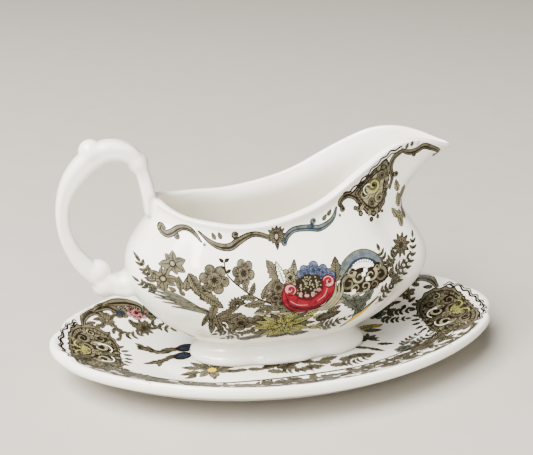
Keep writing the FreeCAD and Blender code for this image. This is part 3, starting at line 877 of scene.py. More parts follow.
def draw_left_spray(pen):
    """The handle-side third of the side: star flowers, grass, broad leaves and two full flowers."""
    spray(pen, 4.2, 5, (-62.6, 58.6), (-66, 62), (-69.4, 66.6))
    spray(pen, 3.8, 4, (-62, 56.4), (-66, 55.8), (-70.4, 57.4))
    daisy(pen.at(-55.8, 68, 20), 6.2, 7, "olive", "pale", 0.2)
    daisy(pen.at(-60.4, 61, 5), 6.8, 8, "olive", "pale", 0.2)
    leaves(pen, ((-53, 56, 96, 7.0), (-51, 56, 80, 7.4), (-52.6, 58.6, 140, 4.6), (-49.6, 57.4, 40, 4.4)),
           share=0.42)
    blades(pen, [(-69.6, 58.6), (-68.6, 56.2), (-67, 53.8), (-64.4, 51.4), (-61, 49.2), (-57, 47)],
           (-40.4, 44.6), 0.85)
    leaves(pen, ((-55, 55.4, 150), (-51.4, 53.6, 130), (-47.6, 55.4, 35), (-45.4, 52.6, 20),
                 (-49, 50.6, 200)), 3.8, 1.9)
    leaf(pen.at(-49.4, 64.6, -62, lift=3), 14.5, 5.8, teeth=6)
    leaf(pen.at(-44.6, 56.4, -40, lift=6), 13.0, 6.0, teeth=7)
    leaf(pen.at(-38.6, 49.8, -100, lift=4), 9.0, 4.6, teeth=5)
    leaves(pen, ((-39.4, 44, -88, 12.4), (-37.6, 43.4, -74, 11.6), (-41.2, 44.6, -106, 8.6),
                 (-38, 42.6, 30, 12.6), (-36.4, 41.6, 18, 10.8), (-41, 46, 160, 7.0)), share=0.3, lift=2,
           teeth=6)
    blossom(pen.at(-38.4, 62, 20), 6.6, 6, "olive", 1.04)
    blossom(pen.at(-25.2, 64.4, 75), 6.2, 6, "olive", 0.82)
    stroke(pen, "brown", 0, [(-33.4, 69.6), (-32.4, 64), (-26, 57.4), (-19.4, 52.4), (-13, 49)],
           [0.3, 0.36, 0.4, 0.45, 0.5])
    leaves(pen, ((-33.2, 66.6, 150), (-32.8, 65, 30), (-33.6, 69.4, 140), (-33.2, 69.6, 30)), 2.6, 1.4,
           ink="brown")
    leaves(pen, ((-24.4, 55.6, 96, 6.0), (-22.2, 54, 74, 6.4), (-17, 51.6, 70, 8.0),
                 (-15.4, 50.4, 44, 6.0), (-19.8, 52.4, 170, 7.6), (-15.6, 49.8, 186, 10.0),
                 (-13.2, 48, 206, 8.0), (-12, 47, 232, 6.0)), teeth=4)
    fan(pen.at(-28.6, 49.6), range(10, 215, 24), 4.4, 1.7)


def draw_main_spray(pen):
    """Flowers along the boat's side."""
    draw_left_spray(pen)
    leaf(pen.at(-6.8, 57.4, 122), 14.0, 7.6, teeth=6)
    leaf(pen.at(-6.6, 58.0, 108, lift=3), 11.0, 3.8, "cream", teeth=6)
    leaf(pen.at(-2.6, 60.4, 80), 8.4, 3.0)
    draw_peony(pen.at(1.8, 54))
    leaf(pen.at(18.0, 56.4, 88), 11.5, 6.4, teeth=6)
    leaf(pen.at(18.8, 57, 56), 12.0, 5.4, "slate", teeth=6)
    leaf(pen.at(17.6, 56, 112), 7.0, 3.4, teeth=4)
    arc = [(20.6, 59.6), (23.6, 63.8), (28.4, 66.4), (33.6, 66.6), (38.6, 64.4), (41.8, 60.2)]
    outlined(pen.at(0, 0, lift=4), arc, [1.0, 1.9, 2.2, 2.2, 1.8, 0.9], "slate", "ink_blue")
    stroke(pen.at(0, 0, lift=6), "blue", 0, [(21.6, 61.6), (26, 65.4), (31, 66.8), (36, 66.2), (40.4, 63)],
           [0.15, 0.5, 0.6, 0.5, 0.15])
    stroke(pen.at(0, 0, lift=6), "ink_blue", 0, [(23, 60), (26.6, 63.4), (32, 64.8), (37.4, 63), (40, 60)],
           [0.3, 0.9, 1.0, 0.9, 0.3])
    for step in range(9):
        angle = math.radians(126 - 9.4 * step)
        pen.at(31.8 + 7.6 * math.cos(angle), 57.0 + 7.4 * math.sin(angle), lift=8).dot("cream", 0, 0.48)
    draw_scroll_flower(pen.at(32.4, 55.4, lift=9))
    draw_right_sprigs(pen)
    draw_low_band(pen)


def draw_scroll_flower(pen):
    """A rolled flower of curls."""
    pen.disc("brown", 0, scalloped(12.2, 9, 0.12), 0.5)
    hatch(pen, 11.4, 60, 0.5, 1.0, "olive", 1, 0.2, 0.5)
    curls = ((-8.0, -0.6, 4.2, 40, False), (-2.6, 1.6, 3.4, 120, False), (3.4, 1.8, 3.4, 60, True),
             (8.6, 1.0, 4.0, 140, True), (0.6, -3.2, 2.8, 250, False), (-4.2, -3.6, 2.3, 200, True),
             (5.2, -3.2, 2.3, 300, False), (-6.4, 4.2, 2.0, 100, False), (7.0, 5.0, 1.9, 30, True))
    for number, (x, y, radius, angle, flip) in enumerate(curls):
        base = pen.at(x, y, angle, lift=2)
        base.disc("brown", 0, np.full(20, radius * 1.12))
        curl(pen.at(x, y, angle, flip=flip, lift=3), radius, "pale" if number % 3 else "olive")
    for x, y in ((0.6, 4.6), (1.8, 0.2), (-0.4, 2.8), (-5.2, -5.0)):
        pen.at(x, y, lift=5).disc("cream", 0, scalloped(1.2, 4, 0.3, 20))


def draw_right_sprigs(pen):
    """Sprigs towards the spout."""
    spray(pen, 4.2, 4, (43.4, 57), (43.8, 61.6), (41.6, 67))
    spray(pen, 4.2, 4, (45, 57.6), (47.6, 61.6), (50.6, 64.6))
    fan(pen.at(55, 65.6), range(0, 360, 36), 5.6, 2.1)
    spray(pen, 4.2, 4, (44.6, 54), (48.6, 55.6), (54, 57.4))
    spray(pen, 4.0, 6, (46, 49.6), (51.6, 52.2), (57.6, 58.6))
    spray(pen, 3.8, 7, (50.6, 46.6), (57, 53), (61.4, 60), (62.6, 67))
    spray(pen, 3.8, 4, (40.6, 46), (45, 48.4), (50.4, 48.6))


def draw_low_band(pen):
    """The lower flowers, where the side turns under towards the foot."""
    outlined(pen, [(-20.6, 44.6), (-8, 42.6), (6, 42.6), (20, 45.6), (34, 49.6)],
             [0.3, 0.8, 0.9, 0.9, 0.2], "pale")
    blossom(pen.at(-26.4, 39), 6.0, 6, "olive", 0.86)
    blossom(pen.at(-18.4, 40), 4.2, 5, "olive", 0.8)
    spray(pen, 4.0, 4, (-27, 35), (-31.4, 33.6), (-36, 31.6))
    spray(pen, 3.6, 4, (-30.4, 42.6), (-33, 39.6), (-36, 35))
    spray(pen, 3.6, 4, (-24, 34), (-27.6, 30), (-32, 28))
    flower = pen.at(-6.0, 35.4, 0, lift=3)
    flower.disc("brown", 0, scalloped(13.0, 22, 0.14, 132), 0.44)
    for petal in range(22):
        angle = 360.0 * (petal * 7 % 22) / 22
        flat = abs(math.cos(math.radians(angle)))
        leaf(flower.at(0, 0, angle, lift=1 + 3 * (petal % 3)), 7.0 + 8.6 * flat ** 2, 3.6,
             "lime" if petal % 4 else "olive")
    daisy(flower.at(0, 0, 10, lift=10), 6.0, 12, "lime", "cream")
    daisy(flower.at(0, 0, 24, lift=14), 3.6, 9, "lime", "cream")
    leaves(pen, ((-19.6, 37.4, 150), (-19, 33.6, 196), (-15, 31, 214)), 8.0, 3.8, teeth=5)
    leaves(pen, ((4, 40.4, 24), (8.0, 38.0, 10), (6.6, 32.4, -16)), 8.0, 3.8, ink="lime", teeth=5)
    leaf(pen.at(9.4, 36.4, 16, lift=2), 13.0, 6.4, "brown", teeth=6, line="olive")
    leaf(pen.at(14.4, 39.6, 30), 8.0, 4.0, teeth=4)
    spray(pen, 4.0, 5, (9, 31.6), (15, 32.4), (21.6, 34))
    spray(pen, 3.6, 5, (13, 28.6), (19, 30.4), (26, 34.6))
    leaves(pen, ((20.6, 49.6, -46, 15.0, 6.6), (37.6, 49.6, 226, 15.0, 5.6), (24, 45.6, -6, 13.0, 5.6),
                 (27.0, 47.6, -68, 11.0, 5.0), (34, 44, 244, 12.0, 5.0)), ink="slate", teeth=5)
    outlined(pen, [(24, 27.6), (31.6, 35.4), (41, 44.6)], [0.2, 0.8, 0.3], "olive")
    stroke(pen.at(0, 0, lift=3), "yellow", 2, [(26.4, 30), (31, 34), (37.0, 39.4)], [0.3, 1.3, 0.3])
    leaves(pen, ((-14.6, 28.6, 184, 10.0, 3.8), (-20, 26.6, 172, 7.0, 3.8), (-12.6, 27.6, 4, 12.0, 3.8),
                 (-2, 27.4, 6, 10.0, 3.8)), ink="slate", teeth=5)
    spray(pen, 3.8, 5, (40, 39.6), (46, 44.6), (50, 50))


def draw_boat(sheet):
    random.seed(3)
    pen = Pen(sheet)
    draw_border(pen)
    draw_spout(pen)
    draw_main_spray(pen)


# ---------------------------------------------------------------- print, on the stand

def draw_medallion(pen):
    """A shell panel for one end of the stand; x points outwards along the stand."""
    radii = [14.6, 15.6, 19.0, 24.0, 26.0, 22.6, 17.6, 13.6, 12.2, 13.6, 17.6, 22.6, 26.0, 24.0, 19.0, 15.6]
    edge = np.interp(np.arange(128) / 8.0, np.arange(17), radii + radii[:1])
    panel(pen, edge, depth=0.024, waves=26, outer=1.01, border=0.7, rings=((0.89, 0.34), (0.76, 0.5)),
          rays=64, ray_shares=(0.77, 0.82, 0.88), ray_width=0.24)
    hatch(pen, 17.0, 110, 0.2, 0.86, "brown", 2, 0.24)
    for side in (False, True):
        half = pen.at(0, 0, flip=side, lift=3)
        curls = ((-2.4, 6.4, 4.8, 20, False, "pale"), (-3.4, 14.6, 3.6, 130, True, "olive"),
                 (6.2, 4.0, 4.0, 200, True, "olive"), (6.6, 11.8, 3.6, 150, False, "olive"),
                 (1.6, 18.6, 2.6, 60, True, "pale"), (-8.2, 7.2, 2.8, 80, False, "olive"))
        for x, y, radius, angle, flip, ink in curls:
            half.at(x, y).disc("brown", 0, np.full(24, radius * 0.94))
            curl(half.at(x, y, angle, flip=flip, lift=1), radius, ink)
        arch(half.at(-4.2, 5.6, 60, lift=4), 4.2, 0.4)
        arch(half.at(8.4, 5.0, 250, lift=4), 3.2, 0.6, "lime")
        leaves(half, ((1, 12, 80), (4, 16, 60), (-7.4, 11.0, 110), (0.6, 15.6, 150), (-8.6, 2.4, 170),
                      (10.4, 8, 30), (10.6, 2.4, 0), (2.0, 9.0, 200)), 5.0, 2.4, lift=4, ink="pale",
               teeth=3)
    leaf(pen.at(-10, 0, 0, lift=7), 9.0, 4.4, teeth=5)
    fan(pen.at(3.4, 0, lift=7), (-52, -18, 18, 52), 8.0, 3.6, ink="lime", teeth=4)
    blossom(pen.at(0.4, 0, lift=10), 3.0, 5, "pale")
    rim = np.linspace(-1.1, 1.1, 150)
    wavy = 18.2 * np.cos(rim) - 0.4 + 1j * 26.6 * np.sin(rim) * 0.98
    wavy = wavy * (1.0 + 0.034 * np.sin(np.arange(150) * 0.33))
    edge_pen = pen.at(0, 0, lift=8)
    edge_pen.ribbon("brown", 1, wavy * 1.03, 0.5)
    edge_pen.ribbon("brown", 1, wavy * 1.095, 0.34)
    for angle in (-172, -158, -144, 144, 158, 172, -128, 128, 112, -112):
        spot = cmath.rect(14.4 if abs(angle) > 130 else 20.0, math.radians(angle))
        leaf(pen.at(spot.real, spot.imag, angle), 5.0, 2.6, teeth=3)


def draw_rim_scrolls(pen):
    """Scrolls under the rim of the stand along one side, from the handle end to the spout end."""
    corner = [((-95, 22), (-94, 28), (-90, 32.6), (-86, 33), (-85.2, 30.4), (-87.4, 29.2)),
              ((-89, 33), (-85.4, 36.4), (-80.6, 38.4), (-76.6, 37), (-77, 34.8), (-79.2, 34.8)),
              ((-82.6, 39.2), (-77, 41.6), (-70.4, 43.2), (-64.4, 42.4), (-63.4, 39.8), (-65.6, 39))]
    for side in (1, -1):
        for number, points in enumerate(corner):
            scroll(pen.at(0, 0, lift=3 * number), [(side * x, y) for x, y in points],
                   [0.7, 1.7, 1.9, 1.6, 1.1, 0.8])
        for x, y, angle in ((-93, 24, 30), (-90.4, 36, 110), (-85.4, 41, 100), (-79.6, 44.6, 140),
                            (-73.6, 46.6, 60), (-83, 34.4, -40), (-75, 41, -30), (-70, 43, -80)):
            leaf(pen.at(side * x, y, angle if side > 0 else 180 - angle), 5.4, 3.0, teeth=4)
    sweep = [(((60, 49.4), (56, 46.6), (51.6, 47.4), (47, 51.6), (42, 54), (37, 52.4), (33.6, 54.6)),
              ((54, 49.6), (41, 51.2))),
             (((30.6, 50.6), (26, 50), (21, 53), (16, 56.6), (10, 55.8), (6.4, 53.4)),
              ((24.4, 52.8), (11, 53)))]
    for side in (-1, 1):
        for points, balls in sweep:
            scroll(pen, [(side * x, y) for x, y in points], [0.5, 1.2, 1.5, 1.6, 1.4, 1.1, 0.5],
                   balls=[(side * x, y, 1.4) for x, y in balls])
        for x, y, angle in ((48, 53, 100), (37.6, 54, 50), (23, 54.6, 110), (30, 52, 60), (60, 44.6, -60),
                            (20, 50.6, -50)):
            leaf(pen.at(side * x, y, angle if side > 0 else 180 - angle), 4.6, 2.4, teeth=3)
    palmette(pen.at(0, 54.6, lift=3), 5.8)


def draw_slope_flowers(pen, middle_inks):
    """Flowers on the rising slope of the dish along one side; two in the middle have inks of their own."""
    first, second = middle_inks
    blossom(pen.at(-66.4, 38.0), 5.8, 6, "pink", 0.8, heart="wine")
    blossom(pen.at(-58.6, 38.8), 5.6, 6, "olive", 0.84)
    blossom(pen.at(-75, 36.2), 4.4, 5, "olive", 0.8)
    pen.at(-75, 36.2, lift=8).disc("ink_blue", 0, np.full(18, 2.4), 0.6)
    leaves(pen, ((-84.6, 30, 200), (-84, 28, 250), (-82, 30.6, 120), (-80, 28.4, 300), (-81.6, 31, 40),
                 (-79, 25, 330), (-86, 26, 230)), 5.4, 2.6, teeth=3)
    daisy(pen.at(-82.6, 29.4, lift=3), 4.4, 7)
    spray(pen, 4.8, 6, (-82, 27), (-76, 21.4), (-69, 22), (-63, 27))
    spray(pen, 4.8, 6, (-64, 27), (-58, 31), (-51, 29), (-43, 31.4))
    fan(pen.at(-64, 28.2), (40, 75, 110, 145, 180, 215, 250, 285, 320, 0), 6.0, 2.8, teeth=3)
    leaves(pen, ((-55, 36.6, 6, 10.0), (-54, 35, -26, 8.0), (-52.6, 40.4, 30, 9.0), (-71, 33, -60, 7.0)),
           teeth=5)
    spray(pen, 5.4, 6, (-47, 35.6), (-41, 39), (-33, 40))
    blossom(pen.at(-26, 41), 5.8, 6)
    daisy(pen.at(-15, 43.6), 6.0, 8)
    spray(pen, 4.8, 6, (-22, 36), (-12, 34.6), (-2, 38))
    blossom(pen.at(4, 44), 6.2, 7, first, 0.9, heart="wine", line="wine")
    blossom(pen.at(14.4, 43), 5.6, 6, second, 0.9, heart="ink_blue", line="ink_blue")
    leaves(pen, ((-3, 42, 170), (-2, 46, 140), (20, 40, -20), (20, 45, 30), (8, 37, -70), (1, 37, 230)),
           7.6, 3.8, teeth=4)
    spray(pen, 4.8, 6, (20, 36), (30, 37.6), (40, 35))
    daisy(pen.at(33, 45), 5.6, 8, centre="yellow")
    blossom(pen.at(45.6, 40.6), 5.8, 6)
    spray(pen, 4.8, 5, (47, 33.6), (55, 31), (61, 34.6))
    blossom(pen.at(56.4, 38.6), 4.8, 5)
    daisy(pen.at(79, 27.4), 5.6, 8)
    blossom(pen.at(66, 26.0), 5.6, 6)
    blossom(pen.at(60.2, 20.6), 4.8, 6, "slate")
    spray(pen, 4.6, 5, (64, 20), (69, 17), (76, 14.4))
    spray(pen, 4.2, 5, (67, 31), (73, 35), (80, 35.6))
    spray(pen, 4.2, 5, (60, 17), (65, 12), (72, 9))
    leaves(pen, ((78, 20.6, 20), (79, 18.4, 320), (76, 19.6, 220), (72, 29, 160), (70, 24, -10)), 5.0, 2.6,
           teeth=3)


def draw_band(pen):
    """The border of small motifs between fine lines round the well, along one side."""
    t = np.linspace(0.10, math.pi - 0.10, 150)
    outer = 96.5 * np.cos(t) + 1j * 42.4 * np.sin(t) ** 0.8
    inner = 88.5 * np.cos(t) + 1j * 31.4 * np.sin(t) ** 0.8
    lower = slice(14, 136)
    wave = 1.0 + 0.004 * np.sin(np.arange(150) * 1.3)
    pen.ribbon("brown", 0, (outer * wave)[lower], 0.34)
    pen.ribbon("brown", 0, (outer * 0.972)[lower], 0.2)
    pen.ribbon("brown", 0, inner[lower], 0.3)
    pen.ribbon("brown", 0, (inner * 0.98 * wave)[lower], 0.16)
    middle = (outer * 0.97 + inner) / 2
    for kinds, step in enumerate(range(18, 134, 4)):
        spot = middle[step]
        way = middle[step + 1] - middle[step - 1]
        here = pen.at(spot.real, spot.imag, math.degrees(cmath.phase(way)))
        kind = kinds % 6
        if kind == 0:
            daisy(here, 4.3, 8, centre=("pale", "blue", "pink", "yellow")[(kinds // 6) % 4])
        elif kind == 1:
            fan(here, (15, 165, 195, 345, 90, 270), 4.6, 2.6, teeth=3)
        elif kind in (2, 4):
            leaf(here.at(-4.8, -0.8, 6), 9.8, 5.2, teeth=5)
            leaf(here.at(-2.6, 2.4, 12), 6.0, 2.6, teeth=3)
        elif kind == 3:
            blossom(here, 4.0, 6)
            for angle in (0, 180):
                leaf(here.at(3.2 if angle == 0 else -3.2, 0, angle), 4.4, 2.4)
        else:
            spray(here, 4.2, 4, (-4, 0.6), (0, -0.8), (4, 0.6))


def draw_well(pen):
    """Loose flowers and twigs round the middle of the dish."""
    leaves(pen, ((-70, 12.6, -20, 17.0, 4.8), (-62, 8.0, 10, 17.0, 4.6), (-66, -3.0, 22, 15.0, 4.8),
                 (-57, 2.6, 2, 13.0, 4.8), (-58, 11.0, -4, 13.0, 4.6)), ink="brown", teeth=5,
           line="olive")
    leaves(pen, ((-66, 12.6, 150), (-65, 11, 190), (-62, 9.6, 120), (-64, -2.6, 200), (-60, -1.6, 250)),
           5.2, 2.2)
    for x, y, length in ((-45.6, 10.6, 5.0), (-48.4, 2.4, 4.8)):
        pen.at(x, y, 20, lift=4).disc("brown", 0, np.full(24, length), 0.8)
        pen.at(x + 0.5, y, 20, lift=4).disc("ink_blue", 1, np.full(24, length * 0.72), 0.7)
    daisy(pen.at(-37, -15.4, lift=3), 8.8, 10, "olive", "yellow")
    pen.at(-37, -15.4, lift=9).disc("yellow", 0, scalloped(2.3, 8, 0.16, 32))
    leaves(pen, ((-42, -12.6, 160, 9.6), (-43, -15.6, 186, 10.0), (-41, -11, 130, 7.6),
                 (-31.6, -14.4, 8, 8.6), (-31, -17.6, -18, 8.0), (-36, -20, -110, 5.0),
                 (-45, -18.6, 200, 7.0), (-20, -19.0, -184, 7.6), (-20, -18.6, -14, 8.6)), teeth=4)
    leaves(pen, ((-13, -19.6, 12), (-11, -22.6, -20), (-6, -21.0, 14), (-10, -18.4, 40), (4, -22.6, 170),
                 (0, -20, 30), (8, -23, -8), (14, -19.6, 160), (17, -19, 14), (22, -21.6, 168),
                 (26, -20.8, 12), (31, -19.6, 18), (12, -24, 190), (20, -24.6, -4), (36, -19, 4)), 9.8,
           4.8, teeth=4)
    spray(pen, 4.0, 5, (-6, -23.6), (2, -25.4), (12, -26))
    spray(pen, 4.2, 5, (24, -24), (32, -24.4), (40, -21.6))
    leaf(pen.at(46, 8.6, 16), 12.0, 5.6, "lime", teeth=5)
    leaf(pen.at(48, 6.6, -6), 10.0, 4.6, teeth=5)
    leaf(pen.at(53.4, 9.6, 10, lift=3), 7.0, 2.6, "yellow")
    fan(pen.at(47, -2.6), (30, 0, -30, 70, 160, 200, 110), 6.6, 2.6, teeth=3)
    leaves(pen, ((38, -9.6, -20), (44, -12, -34), (50, -9, -10)), 9.0, 3.0, ink="brown", teeth=4,
           line="olive")


def draw_stand(sheet):
    pen = Pen(sheet)
    draw_medallion(pen.at(-90.4, 1, 180, 0.9))
    draw_medallion(pen.at(90.4, -1, 0, 0.92))
    for front, middle_inks in ((False, ("red", "blue")), (True, ("olive", "slate"))):
        half = pen.at(0, 0, flip=front)
        draw_rim_scrolls(half)
        draw_slope_flowers(half, middle_inks)
    draw_band(pen.at(0, 0, flip=True, lift=7))
    draw_well(pen)


# ---------------------------------------------------------------- laying the print on the glaze

class Skin:
    """The surface of one mesh object, for finding places on it; in millimetres."""

    def __init__(self, piece):
        mesh = piece.data
        mesh.calc_loop_triangles()
        self.corners = np.array([triangle.vertices for triangle in mesh.loop_triangles])
        self.points = np.array([vertex.co for vertex in mesh.vertices]) / MM
        self.normals = np.zeros_like(self.points)
        loop_points = np.array([loop.vertex_index for loop in mesh.loops])
        self.normals[loop_points] = np.array([corner.vector for corner in mesh.corner_normals])
        self.tree = BVHTree.FromPolygons(self.points.tolist(), self.corners.tolist(), all_triangles=True)

    def touch(self, origins, direction):
        """Where straight lines first meet the surface, and its smooth normals there."""
        way = Vector(direction)
        hits = np.full(origins.shape, np.nan)
        normals = np.zeros(origins.shape)
        for index, origin in enumerate(origins.tolist()):
            place, _, triangle, _ = self.tree.ray_cast(Vector(origin), way)
            if place is None:
                continue
            hits[index] = place
            a, b, c = self.points[self.corners[triangle]]
            whole = np.cross(b - a, c - a)
            size = whole.dot(whole)
            share_b = np.cross(hits[index] - a, c - a).dot(whole) / size
            share_c = np.cross(b - a, hits[index] - a).dot(whole) / size
            corner_normals = self.normals[self.corners[triangle]]
            normals[index] = (corner_normals[0] * (1 - share_b - share_c) + corner_normals[1] * share_b
                              + corner_normals[2] * share_c)
        return hits, unit(normals)


def film_faces(rows, columns, joined, start, turned):
    """Faces of a thin closed film: its top, its underside and its edge."""
    count = rows * columns
    faces = []
    for row in range(rows - 1):
        for column in range(columns if joined else columns - 1):
            after = (column + 1) % columns
            faces.append((row * columns + column, (row + 1) * columns + column,
                          (row + 1) * columns + after, row * columns + after))
    if joined:
        faces.append(tuple(range(columns)))
        border = [(rows - 1) * columns + column for column in range(columns)]
    else:
        border = [row * columns for row in range(rows)]
        border += [(rows - 1) * columns + column for column in range(1, columns)]
        border += [row * columns + columns - 1 for row in range(rows - 2, -1, -1)]
        border += list(range(columns - 2, 0, -1))
    under = [tuple(corner + count for corner in face[::-1]) for face in faces]
    rim = [(first + count, second + count, second, first)
           for first, second in zip(border, border[1:] + border[:1])]
    whole = faces + under + rim
    if turned:
        whole = [face[::-1] for face in whole]
    return [tuple(start + corner for corner in face) for face in whole]


def beside_the_boat(flat):
    """Places in front of the boat's side for the points of a flat drawing."""
    return np.stack([flat.real, np.full(flat.shape, -STANDOFF), flat.imag], axis=1)


def above_the_stand(flat):
    """Places over the stand for the points of a flat drawing."""
    return np.stack([flat.real, flat.imag, np.full(flat.shape, STANDOFF)], axis=1)


def lay(sheet, skin, place_on, direction, steepest, mirrored, body):
    """Makes one object of thin films for each ink of a sheet; films on steeper glaze are left out."""
    flat = np.concatenate([grid.ravel() for _, _, grid, _ in sheet.films])
    hits, normals = skin.touch(place_on(flat), direction)
    facing = -(normals @ np.array(direction))
    fine = (facing > steepest) & ~np.isnan(hits[:, 0])
    parts = {}
    start = 0
    for ink, level, grid, joined in sheet.films:
        end = start + grid.size
        if fine[start:end].all():
            rows, columns = grid.shape
            a, b, c = grid[0, 0], grid[1, 0], grid[1, 1]
            turned = ((b - a).conjugate() * (c - b)).imag < 0
            film = parts.setdefault(ink, ([], [], []))
            place, way = hits[start:end], normals[start:end]
            height = FILM_TOP + FILM_STEP * level
            for side in ((1, -1) if mirrored else (1,)):
                flip = np.array([1.0, side, 1.0])
                first = sum(len(points) for points in film[0])
                film[0].append(np.concatenate([place + way * height, place + way * FILM_BOTTOM]) * flip)
                film[1].append(np.concatenate([way, -way]) * flip)
                film[2].extend(film_faces(rows, columns, joined, first, turned != (side < 0)))
        start = end
    for ink, (points, facings, faces) in sorted(parts.items()):
        piece = make_object(f"{body}_print_{ink}", np.concatenate(points), faces, np.concatenate(facings))
        piece.data.materials.append(INKS[ink])
        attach(piece, body)


# ---------------------------------------------------------------- materials

def tint(code):
    """A linear colour from a written one such as c8b090."""
    parts = [int(code[place:place + 2], 16) / 255.0 for place in (0, 2, 4)]
    return tuple(part / 12.92 if part < 0.04045 else ((part + 0.055) / 1.055) ** 2.4
                 for part in parts) + (1.0,)


class Nodes:
    """Short names for building one material's nodes."""

    def __init__(self, name):
        self.material = bpy.data.materials.new(name)
        self.material.use_nodes = True
        self.tree = self.material.node_tree
        self.shader = self.tree.nodes["Principled BSDF"]
        self.place = self.tree.nodes.new("ShaderNodeTexCoord").outputs["Object"]

    def link(self, source, target):
        self.tree.links.new(source, target)

    def noise(self, scale, detail=2.0, roughness=0.5):
        node = self.tree.nodes.new("ShaderNodeTexNoise")
        node.inputs["Scale"].default_value = scale
        node.inputs["Detail"].default_value = detail
        node.inputs["Roughness"].default_value = roughness
        self.link(self.place, node.inputs["Vector"])
        return node.outputs["Fac"]

    def cells(self, scale):
        node = self.tree.nodes.new("ShaderNodeTexVoronoi")
        node.inputs["Scale"].default_value = scale
        self.link(self.place, node.inputs["Vector"])
        return node.outputs["Distance"]

    def height(self):
        node = self.tree.nodes.new("ShaderNodeSeparateXYZ")
        self.link(self.place, node.inputs[0])
        return node.outputs["Z"]

    def spread(self, value, low, high, to_low=0.0, to_high=1.0):
        """Stretches a value from between low and high to between two other numbers."""
        node = self.tree.nodes.new("ShaderNodeMapRange")
        node.interpolation_type = "SMOOTHSTEP"
        limits = {"From Min": low, "From Max": high, "To Min": to_low, "To Max": to_high}
        for slot, number in limits.items():
            node.inputs[slot].default_value = number
        self.link(value, node.inputs["Value"])
        return node.outputs["Result"]

    def blend(self, share, first, second):
        """Mixes two colours; each is a colour or another node's output."""
        node = self.tree.nodes.new("ShaderNodeMix")
        node.data_type = "RGBA"
        self.link(share, node.inputs["Factor"])
        for slot, colour in ((node.inputs[6], first), (node.inputs[7], second)):
            if isinstance(colour, tuple):
                slot.default_value = colour
            else:
                self.link(colour, slot)
        return node.outputs[2]

    def times(self, first, second):
        node = self.tree.nodes.new("ShaderNodeMath")
        node.operation = "MULTIPLY"
        self.link(first, node.inputs[0])
        self.link(second, node.inputs[1])
        return node.outputs[0]

    def bump(self, height, strength, distance, before=None):
        node = self.tree.nodes.new("ShaderNodeBump")
        node.inputs["Strength"].default_value = strength
        node.inputs["Distance"].default_value = distance
        self.link(height, node.inputs["Height"])
        if before is not None:
            self.link(before, node.inputs["Normal"])
        return node.outputs["Normal"]


def glaze_surface(nodes, shine, roughness):
    """The glassy, slightly uneven surface of the bare glaze and of the print."""
    nodes.shader.inputs["Specular IOR Level"].default_value = shine
    uneven = nodes.spread(nodes.noise(70.0, 3.0), 0.3, 0.7, roughness, roughness + 0.07)
    nodes.link(uneven, nodes.shader.inputs["Roughness"])
    swell = nodes.bump(nodes.noise(60.0, 2.0), 0.25, 0.0006)
    nodes.link(nodes.bump(nodes.noise(650.0, 3.0), 0.06, 0.0002, swell), nodes.shader.inputs["Normal"])


def make_glaze(name, unglazed_below=None):
    """Warm white glaze, a little uneven in tone, with a few fine specks."""
    nodes = Nodes(name)
    tone = nodes.blend(nodes.spread(nodes.noise(24.0, 3.0), 0.3, 0.7), tint("e3ddce"), tint("e9e5d9"))
    specks = nodes.times(nodes.spread(nodes.cells(230.0), 0.10, 0.05),
                         nodes.spread(nodes.noise(90.0), 0.62, 0.68))
    tone = nodes.blend(specks, tone, tint("a58f72"))
    if unglazed_below is not None:
        grain = nodes.blend(nodes.noise(1800.0, 4.0), tint("b79f7e"), tint("d2c1a4"))
        bare = nodes.spread(nodes.height(), unglazed_below + 0.00015, unglazed_below)
        tone = nodes.blend(bare, tone, grain)
    nodes.link(tone, nodes.shader.inputs["Base Color"])
    glaze_surface(nodes, 0.6, 0.05)
    return nodes.material


def make_ink(name, deep, light):
    """Printed ink under the glaze: mottled, with fine stippling."""
    nodes = Nodes("ink_" + name)
    cloud = nodes.blend(nodes.spread(nodes.noise(260.0, 4.0, 0.65), 0.32, 0.68), tint(deep), tint(light))
    stipple = nodes.times(nodes.spread(nodes.cells(1900.0), 0.25, 0.45),
                          nodes.spread(nodes.noise(420.0), 0.4, 0.6))
    nodes.link(nodes.blend(stipple, cloud, tint(light)), nodes.shader.inputs["Base Color"])
    glaze_surface(nodes, 0.1, 0.24)
    return nodes.material


INKS = {name: make_ink(name, deep, light) for name, deep, light in (
    ("brown", "0b0804", "20180e"), ("olive", "302d20", "5b5542"), ("pale", "5f5a42", "868064"),
    ("slate", "30352f", "565b50"), ("ink_blue", "0f1320", "1f2834"), ("blue", "2a2e40", "4d5366"),
    ("red", "560512", "78101e"), ("wine", "2c0309", "460a13"), ("pink", "7d484a", "a87472"),
    ("lime", "6a6830", "949050"), ("yellow", "a48610", "c6a830"), ("cream", "d8d4be", "e9e5d6"))}


# ---------------------------------------------------------------- stage

# Half the floor's side and the height that the lights aim at, in metres
FLOOR_REACH = 3
LIGHT_AIM = Vector((0.0, 0.0, 0.05))


def add_camera():
    """A camera that looks at the middle of the boat from a little above and to the left."""
    around, up, distance = math.radians(-14.0), math.radians(21.5), 520.0
    target = Vector((-5.83, 0.0, 71.7))
    back = Vector((math.sin(around) * math.cos(up), -math.cos(around) * math.cos(up), math.sin(up)))
    data = bpy.data.cameras.new("camera")
    data.sensor_width = 36.0
    data.lens = 72.67
    data.clip_start = 0.01
    camera = bpy.data.objects.new("camera", data)
    bpy.context.scene.collection.objects.link(camera)
    camera.matrix_world = (Matrix.Translation((target + back * distance) * MM)
                           @ back.to_track_quat("Z", "Y").to_matrix().to_4x4())
    bpy.context.scene.camera = camera


def add_light(name, place, size, power):
    """A soft rectangular light aimed at the middle of the boat."""
    data = bpy.data.lights.new(name, "AREA")
    data.shape = "RECTANGLE"
    data.size, data.size_y = size
    data.energy = power
    light = bpy.data.objects.new(name, data)
    bpy.context.scene.collection.objects.link(light)
    light.location = place
    light.rotation_euler = (Vector(place) - LIGHT_AIM).to_track_quat("Z", "Y").to_euler()


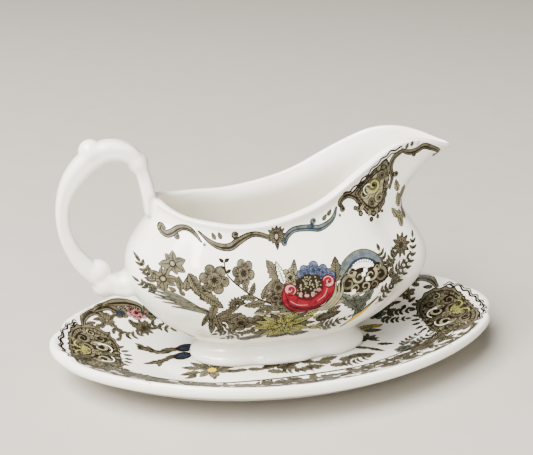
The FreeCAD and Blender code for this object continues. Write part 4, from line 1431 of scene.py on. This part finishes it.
def add_stage():
    """Soft studio lights and a plain pale floor."""
    add_light("key", (-1.0, -0.6, 1.7), (1.5, 1.3), 245.0)
    add_light("front", (-0.7, -2.5, 1.1), (3.8, 2.6), 95.0)
    add_light("window", (-0.75, -1.0, 0.75), (0.22, 0.42), 9.0)
    world = bpy.data.worlds.new("studio")
    world.use_nodes = True
    background = world.node_tree.nodes["Background"]
    background.inputs["Color"].default_value = (1.0, 0.97, 0.92, 1.0)
    background.inputs["Strength"].default_value = 0.12
    bpy.context.scene.world = world
    mesh = bpy.data.meshes.new("floor")
    corners = [(x * FLOOR_REACH, y * FLOOR_REACH, 0) for x, y in ((-1, -1), (1, -1), (1, 1), (-1, 1))]
    mesh.from_pydata(corners, [], [(0, 1, 2, 3)])
    floor = bpy.data.objects.new("floor", mesh)
    bpy.context.scene.collection.objects.link(floor)
    nodes = Nodes("floor_paper")
    paper = nodes.blend(nodes.noise(40.0, 5.0), tint("9d978c"), tint("a59f94"))
    nodes.link(paper, nodes.shader.inputs["Base Color"])
    nodes.shader.inputs["Roughness"].default_value = 0.7
    mesh.materials.append(nodes.material)


# ---------------------------------------------------------------- the whole scene

def dress(piece, material, node, body):
    """Gives a piece its glaze, hides the CAD piece it stands for and says which body it rides on."""
    piece.data.materials.append(material)
    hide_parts(node)
    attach(piece, body)


add_camera()
add_stage()
glaze = make_glaze("glaze_warm_white")
bowl, foot = make_boat_shells()
dish = make_dish()
stand_foot_ring = make_stand_foot_ring()
bowl_skin = Skin(bowl)
dish_skin = Skin(dish)
handle = make_handle(bowl_skin.tree)
for boat_piece, boat_node in ((bowl, "bowl"), (foot, "foot"), (handle, "handle")):
    dress(boat_piece, glaze, boat_node, "boat")
dress(dish, glaze, "stand_dish", "stand")
dress(stand_foot_ring, make_glaze("glaze_over_bare_foot", BARE_HEIGHT), "stand_foot_ring", "stand")

boat_sheet = Sheet()
draw_boat(boat_sheet)
lay(boat_sheet, bowl_skin, beside_the_boat, (0.0, 1.0, 0.0), steepest=0.2, mirrored=True, body="boat")
stand_sheet = Sheet()
draw_stand(stand_sheet)
lay(stand_sheet, dish_skin, above_the_stand, (0.0, 0.0, -1.0), steepest=0.5, mirrored=False, body="stand")
